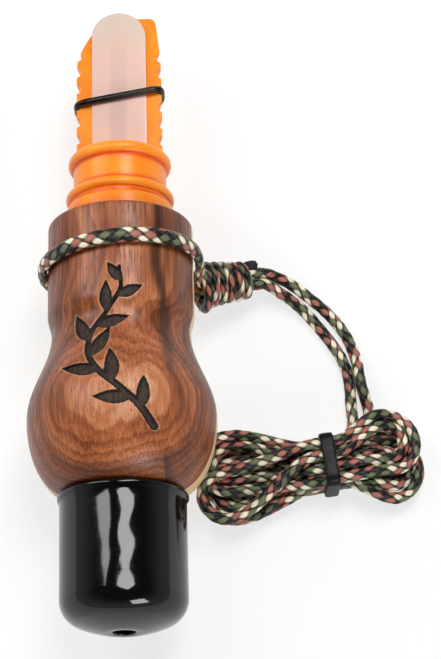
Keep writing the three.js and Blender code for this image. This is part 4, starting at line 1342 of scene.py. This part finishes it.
class ELK_OT_cap(bpy.types.Operator):
    """Make the dipped vinyl end cap"""

    bl_idname = "elk_call.cap"
    bl_label = "End cap"

    def execute(self, context):
        cap = context.scene.elk_cap
        drop = CAP_DOME - math.sqrt(CAP_DOME**2 - CAP_FLAT**2)
        dome_centre = CAP_DOME - drop
        corner_r = CAP_RADIUS - CAP_CORNER
        corner_y = dome_centre - math.sqrt((CAP_DOME - CAP_CORNER) ** 2 - corner_r**2)
        dome_start = -np.pi / 2 + math.asin(CAP_FLAT / CAP_DOME)
        dome_end = -np.pi / 2 + math.atan2(corner_r, dome_centre - corner_y)
        share = np.linspace(0, 1, 7)[1:]
        swell = [CAP_RADIUS + CAP_LIP * smooth(share), CAP_LENGTH - LIP_LENGTH + LIP_SWELL * share]
        outline = np.vstack([
            arc(OUTLET + OUTLET_ROUND, OUTLET_ROUND, OUTLET_ROUND, np.pi, 1.5 * np.pi, 4),
            arc(0, dome_centre, CAP_DOME, dome_start, dome_end, 10),
            arc(corner_r, corner_y, CAP_CORNER, dome_end, 0, 18)[1:],
            straight(CAP_RADIUS, corner_y, CAP_LENGTH - LIP_LENGTH, 14)[1:],
            np.stack(swell, axis=1),
            arc(CAP_RADIUS + CAP_LIP - LIP_ROUND, CAP_LENGTH - LIP_ROUND, LIP_ROUND, 0, np.pi / 2, 8)[1:],
            [[CAP_RADIUS - CAP_WALL, CAP_LENGTH]],
            arc(corner_r, corner_y, CAP_CORNER - CAP_WALL, 0, -np.pi / 2, 10),
            [[OUTLET, CAP_END_WALL]],
        ])
        points, faces = turned(outline, cap.segments)
        points += self.unevenness(outline, cap.segments)
        piece = make_piece("vinyl_cap", points, faces, vinyl_look(cap), "cap")
        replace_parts(piece, "end_cap")
        return {"FINISHED"}

    def unevenness(self, outline, segments):
        """How far each point of the cap's outside moves out: products of sine waves round the cap
        and along it, largest at the upper side, and none near the ends, and one shallow bell-shaped
        dent near its outer end."""
        angle = TURN * np.arange(segments) / segments
        along = outline[:, 1:]
        wave = 0.08 * np.sin(7 * angle + 0.6) * np.sin(along / 1.3 + 0.8)
        wave = wave + 0.05 * np.sin(5 * angle + 2.0) * np.cos(along / 2.1)
        upper = WAVE_BELOW + (1 - WAVE_BELOW) * np.exp(-(((angle - WAVE_ANGLE) / WAVE_WIDTH) ** 2))
        middle = smooth((along - 3) / 5) * smooth((CAP_LENGTH - 1 - along) / 5)
        outside = outline[:, :1] > CAP_RADIUS - 1
        off = ((angle - DENT_ANGLE) / DENT_WIDTH) ** 2 + ((along - DENT_AT) / DENT_LENGTH) ** 2
        dent = DENT_DEPTH * np.exp(-off) * smooth((along - 3) / 4)
        out = (wave * upper * middle - dent) * outside
        return np.stack([out * np.cos(angle), 0 * out, out * np.sin(angle)], axis=-1).reshape(-1, 3)


# Mouthpiece


def board_depth(t):
    """The toneboard's depth below its flat top: level, then half a cosine wave up to the tip."""
    return eased(t, BOARD_LEVEL, BOARD_LENGTH, BOARD_RADIUS, BOARD_TIP_DEPTH)


class ELK_OT_mouthpiece(bpy.types.Operator):
    """Make the collar, the toneboard and the reed, and give the wedge and seal rings their finish"""

    bl_idname = "elk_call.mouthpiece"
    bl_label = "Mouthpiece"

    def execute(self, context):
        plastic, rubber = context.scene.elk_plastic, context.scene.elk_rubber
        look = plastic_look(plastic)
        self.collar(plastic, look)
        self.reed(plastic)
        self.toneboard(look)
        refinish("reed_wedge", look)
        seal = rubber_look("seal_rubber", rubber, 0.45, 0.35)
        refinish("tenon_ring_front", seal)
        refinish("tenon_ring_rear", seal)
        return {"FINISHED"}

    def collar(self, plastic, look):
        """The collar's outline turned about the axis. Painted shade makes it a deeper red in its grooves and
        fillets.
        """
        top = MOUTH_AT + FLANGE_HEIGHT
        grooves = []
        for place in RING_GROOVES:
            start, end = MOUTH_AT - place - RING_GROOVE_HALF, MOUTH_AT - place + RING_GROOVE_HALF
            grooves += [[TENON_RADIUS, start], [RING_GROOVE_FLOOR, start]]
            grooves += [[RING_GROOVE_FLOOR, end], [TENON_RADIUS, end]]
        low, low_place, low_round = LOW_BEAD
        high, high_place, high_round = TOP_BEAD
        fillet_r = SHANK_RADIUS + SHANK_FILLET
        fillet_start, fillet_end = (MOUTH_AT + place for place in SHANK_FILLETS)
        socket_floor = COLLAR_TOP - SOCKET_DEPTH
        outline = np.vstack([
            [[THROAT_RADIUS, TENON_END], [TENON_RADIUS, TENON_END]],
            grooves,
            [[TENON_RADIUS, MOUTH_AT + SEAT], [FLANGE_RADIUS, MOUTH_AT + SEAT]],
            arc(FLANGE_RADIUS - FLANGE_ROUND, top - FLANGE_ROUND, FLANGE_ROUND, 0, np.pi / 2, 8),
            arc(GROOVE_RADIUS + FLANGE_FILLET, top + FLANGE_FILLET, FLANGE_FILLET, 1.5 * np.pi, np.pi, 5),
            arc(low - low_round, MOUTH_AT + low_place, low_round, -0.42 * np.pi, 0.42 * np.pi, 16),
            arc(fillet_r, fillet_start, SHANK_FILLET, 1.45 * np.pi, np.pi, 5),
            straight(SHANK_RADIUS, MOUTH_AT + SHANK_FROM, MOUTH_AT + SHANK_TO, 12),
            arc(fillet_r, fillet_end, SHANK_FILLET, np.pi, 0.55 * np.pi, 5),
            arc(high - high_round, MOUTH_AT + high_place, high_round, -0.4 * np.pi, np.pi / 2, 20),
            [[SOCKET_RADIUS, COLLAR_TOP], [SOCKET_RADIUS, socket_floor], [THROAT_RADIUS, socket_floor]],
        ])
        points, faces = turned(outline, plastic.segments)
        # Painted shade: a deeper red that falls off as a bell curve from each groove and fillet
        apart = (outline[:, 1:] - MOUTH_AT - np.array(GROOVE_SHADE_PLACES)) / GROOVE_SHADE_REACH
        deep = np.repeat(GROOVE_SHADE_STRENGTH * np.exp(-(apart**2)).max(axis=1), plastic.segments)
        piece = make_piece(
            "collar", points, faces, look, "insert", fields={"deep": deep}, crease=50
        )
        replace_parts(piece, "insert_collar")

    def toneboard(self, look):
        """Sections across the board, each a flat top with a channel over the lower half of an oval.
        Their sides keep inside the notches' circles and, at the left of the tip, inside the reed's
        round and a bowed shoulder. The last section closes the tip."""
        side = NOTCHES[:, None] + np.linspace(-NOTCH_RADIUS, NOTCH_RADIUS, 19)
        t = np.unique(np.round(np.concatenate([
            [-TAIL_LENGTH, -0.01, 0.0, CHANNEL_LENGTH - 0.01, CHANNEL_LENGTH],
            np.arange(0, BOARD_LENGTH, BOARD_STEP),
            side.ravel(),
            side.ravel() - NOTCH_STAGGER,
            np.linspace(BOARD_LENGTH - TIP_REACH, BOARD_LENGTH, 30),
        ]), 3))
        tail = t < 0
        taper = np.clip((t - BOARD_STRAIGHT) / (BOARD_LENGTH - BOARD_STRAIGHT), 0, 1)
        wide = np.where(tail, TAIL_RADIUS, BOARD_RADIUS + (BOARD_TIP_HALF - BOARD_RADIUS) * taper**2)
        deep = np.where(tail, TAIL_RADIUS + BOARD_FLAT, board_depth(t))
        bend = np.clip((t - FACING_START) / (BOARD_LENGTH - FACING_START), 0, 1)
        top = BOARD_FLAT - FACING_DROP * bend**2
        limits = []
        for stagger in (0, NOTCH_STAGGER):
            off = np.abs(t[:, None] - NOTCHES + stagger)
            chord = np.sqrt(np.maximum(NOTCH_RADIUS**2 - off**2, 0))
            cut = np.where(off < NOTCH_RADIUS, (wide - NOTCH_DEPTH + NOTCH_RADIUS)[:, None] - chord, FAR)
            limits.append(np.where(tail, wide, np.minimum(wide, cut.min(axis=1))))
        left, right = limits
        centre = REED_TIP - REED_HALF - COLLAR_TOP
        join = centre + REED_HALF * math.sin(SHOULDER_TURN)
        corner, end = [SHOULDER_REACH, centre - SHOULDER_DROP], [BOARD_RADIUS, centre - REED_HALF]
        bow = bent([REED_HALF * math.cos(SHOULDER_TURN), join], corner, end, 30)
        left = np.minimum(left, np.interp(t, bow[::-1, 1], bow[::-1, 0], left=FAR))
        circle = np.sqrt(np.maximum(REED_HALF**2 - np.maximum(t - centre, 0) ** 2, 0))
        left = np.where(t > join, np.minimum(left, circle - SEAT / 2), left)
        corner = np.clip((t - BOARD_LENGTH + TIP_CORNER) / TIP_CORNER, 0, 1)
        right = right - TIP_CORNER * (1 - np.sqrt(1 - corner**2))
        channel = np.where(t < CHANNEL_LENGTH, CHANNEL_DEPTH, 0.0)
        under = smooth(np.arange(41) / 40)
        quarter = np.linspace(0, np.pi / 2, 5)
        out = np.append(-BOARD_EDGE - EDGE_STRIP, BOARD_EDGE * (np.sin(quarter) - 1))
        down = np.append(0, BOARD_EDGE * (np.cos(quarter) - 1))
        left_x, right_x = -left[:, None] - out, right[:, None] + out
        edge_z = top[:, None] + down
        floor = np.stack([top, top - channel, top - channel, top], axis=1)
        across = np.broadcast_to(np.array([-1, -1, 1, 1]) * CHANNEL_HALF, floor.shape)
        start = np.arcsin(np.clip((BOARD_FLAT - top + BOARD_EDGE) / deep, 0, 1))
        angle = start[:, None] + (np.pi - 2 * start[:, None]) * under[None, 1:-1]
        x = np.clip(wide[:, None] * np.cos(angle), -left[:, None], right[:, None])
        z = BOARD_FLAT - deep[:, None] * np.sin(angle)
        points_x = np.concatenate([left_x[:, ::-1], across, right_x, x], axis=1)
        points_z = np.concatenate([edge_z[:, ::-1], floor, edge_z, z], axis=1)
        count, sides = points_x.shape
        along = (COLLAR_TOP + SEAT * ~tail + t)[:, None]
        points = on_call(points_x, along, points_z).reshape(-1, 3)
        ring = np.arange(sides)
        faces = [grid_faces(count, sides, False, True), ring[None, ::-1], (ring + (count - 1) * sides)[None]]
        piece = make_piece(
            "tone_board_piece", points, faces, look, "tone_board",
            fields={"deep": np.full(len(points), DEEP_BOARD)}, crease=35,
        )
        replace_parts(piece, "toneboard")

    def reed(self, plastic):
        """Sections across the reed: a thin rounded slab whose half-width follows a half circle at
        the tip."""
        start, centre = COLLAR_TOP - REED_ROOT, REED_TIP - REED_HALF
        turn = np.linspace(0, np.pi / 2, 22)[1:-1]
        along = np.concatenate([np.linspace(start, centre, 40), centre + REED_HALF * np.sin(turn)])
        half = np.concatenate([np.full(40, REED_HALF), REED_HALF * np.cos(turn)])
        sides = 32
        angle = TURN * (np.arange(sides) + 0.5) / sides
        across = squarer(np.cos(angle), 0.6)
        up = squarer(np.sin(angle), 0.25) * REED_THICKNESS / 2
        middle = BOARD_FLAT + LIE + REED_THICKNESS / 2
        points = on_call(half[:, None] * across, along[:, None], middle + up[None, :])
        ends = on_call(0, [start, REED_TIP - REED_END_GAP], middle)
        points = np.vstack([points.reshape(-1, 3), ends])
        total = len(along) * sides
        first, last = np.arange(sides)[::-1], np.arange(sides) + total - sides
        faces = [grid_faces(len(along), sides, False, True), fan(total, first), fan(total + 1, last)]
        piece = make_piece("reed_film", points, faces, reed_look(plastic), None, crease=60)
        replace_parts(piece, "reed")
        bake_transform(piece)


class ELK_OT_band(bpy.types.Operator):
    """Make the tuning band, a round section carried round the board and the reed"""

    bl_idname = "elk_call.band"
    bl_label = "Tuning band"

    def execute(self, context):
        rubber = context.scene.elk_rubber
        thick = rubber.band / MM
        grow = thick / 2 + BAND_CLEARANCE
        half = BOARD_RADIUS - NOTCH_DEPTH + grow
        top = BOARD_FLAT + LIE + REED_THICKNESS + grow
        angle = np.linspace(0, np.pi, 40)
        x = np.clip((BOARD_RADIUS + grow) * np.cos(angle), -half, half)
        depth = board_depth(self.place(x, half)) + grow
        under = np.stack([x, BOARD_FLAT - depth * np.sin(angle)], axis=1)
        over = np.linspace(-half + BAND_SHOULDER, half - BAND_SHOULDER, 24)
        over = np.stack([over, np.full(24, top)], axis=1)
        corner, level = half - BAND_CORNER[0], top - BAND_CORNER[1]
        outline = np.vstack([over, [[corner, level]], under, [[-corner, level]], over[:1]])
        outline = even(outline, BAND_STEP)[:-1]
        shares = enumerate(bell(BAND_REACH, BAND_SPREAD), -BAND_REACH)
        outline = sum(share * np.roll(outline, k, axis=0) for k, share in shares)
        along = COLLAR_TOP + self.place(outline[:, 0], half)
        path = on_call(outline[:, 0], along, outline[:, 1])
        turn = TURN * np.arange(20) / 20
        section = thick / 2 * np.stack([np.sin(turn), np.cos(turn)], axis=1)
        points, faces = carried(path, [0.0, 1.0, 0.0], section)
        look = rubber_look("band_rubber", rubber, 0.26, 0.3)
        piece = make_piece("rubber_band", points, faces, look, "band")
        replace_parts(piece, "tuning_band")
        return {"FINISHED"}

    def place(self, x, half):
        """Where the band lies along the board: its slant is even from its left to its right side."""
        return BAND_LEFT + (BAND_RIGHT - BAND_LEFT) * (x + half) / (2 * half)


# Panel and run


class ELK_PT_panel(bpy.types.Panel):
    """Lists the pieces of the elk call"""

    bl_idname = "ELK_PT_panel"
    bl_label = "Elk Call"
    bl_space_type = "VIEW_3D"
    bl_region_type = "UI"
    bl_category = "Elk Call"

    def draw(self, context):
        for step in STEPS:
            self.layout.operator(step.bl_idname)
        for key, group in SETTINGS.items():
            box = self.layout.box()
            box.label(text=group.__doc__)
            for field in group.__annotations__:
                box.prop(getattr(context.scene, key), field)


SETTINGS = {
    "elk_stage": StageSettings,
    "elk_cord": CordSettings,
    "elk_wood": WoodSettings,
    "elk_cap": CapSettings,
    "elk_plastic": PlasticSettings,
    "elk_rubber": RubberSettings,
}
STEPS = [ELK_OT_stage, ELK_OT_cord, ELK_OT_barrel, ELK_OT_cap, ELK_OT_mouthpiece, ELK_OT_band]
CLASSES = [*SETTINGS.values(), *STEPS, ELK_PT_panel]


def register():
    for each in CLASSES:
        bpy.utils.register_class(each)
    for key, group in SETTINGS.items():
        setattr(bpy.types.Scene, key, PointerProperty(type=group))


def unregister():
    for key in SETTINGS:
        delattr(bpy.types.Scene, key)
    for each in reversed(CLASSES):
        bpy.utils.unregister_class(each)


def main():
    """Makes every piece."""
    register()
    for step in STEPS:
        group, name = step.bl_idname.split(".")
        getattr(getattr(bpy.ops, group), name)()


if __name__ == "__main__":
    main()
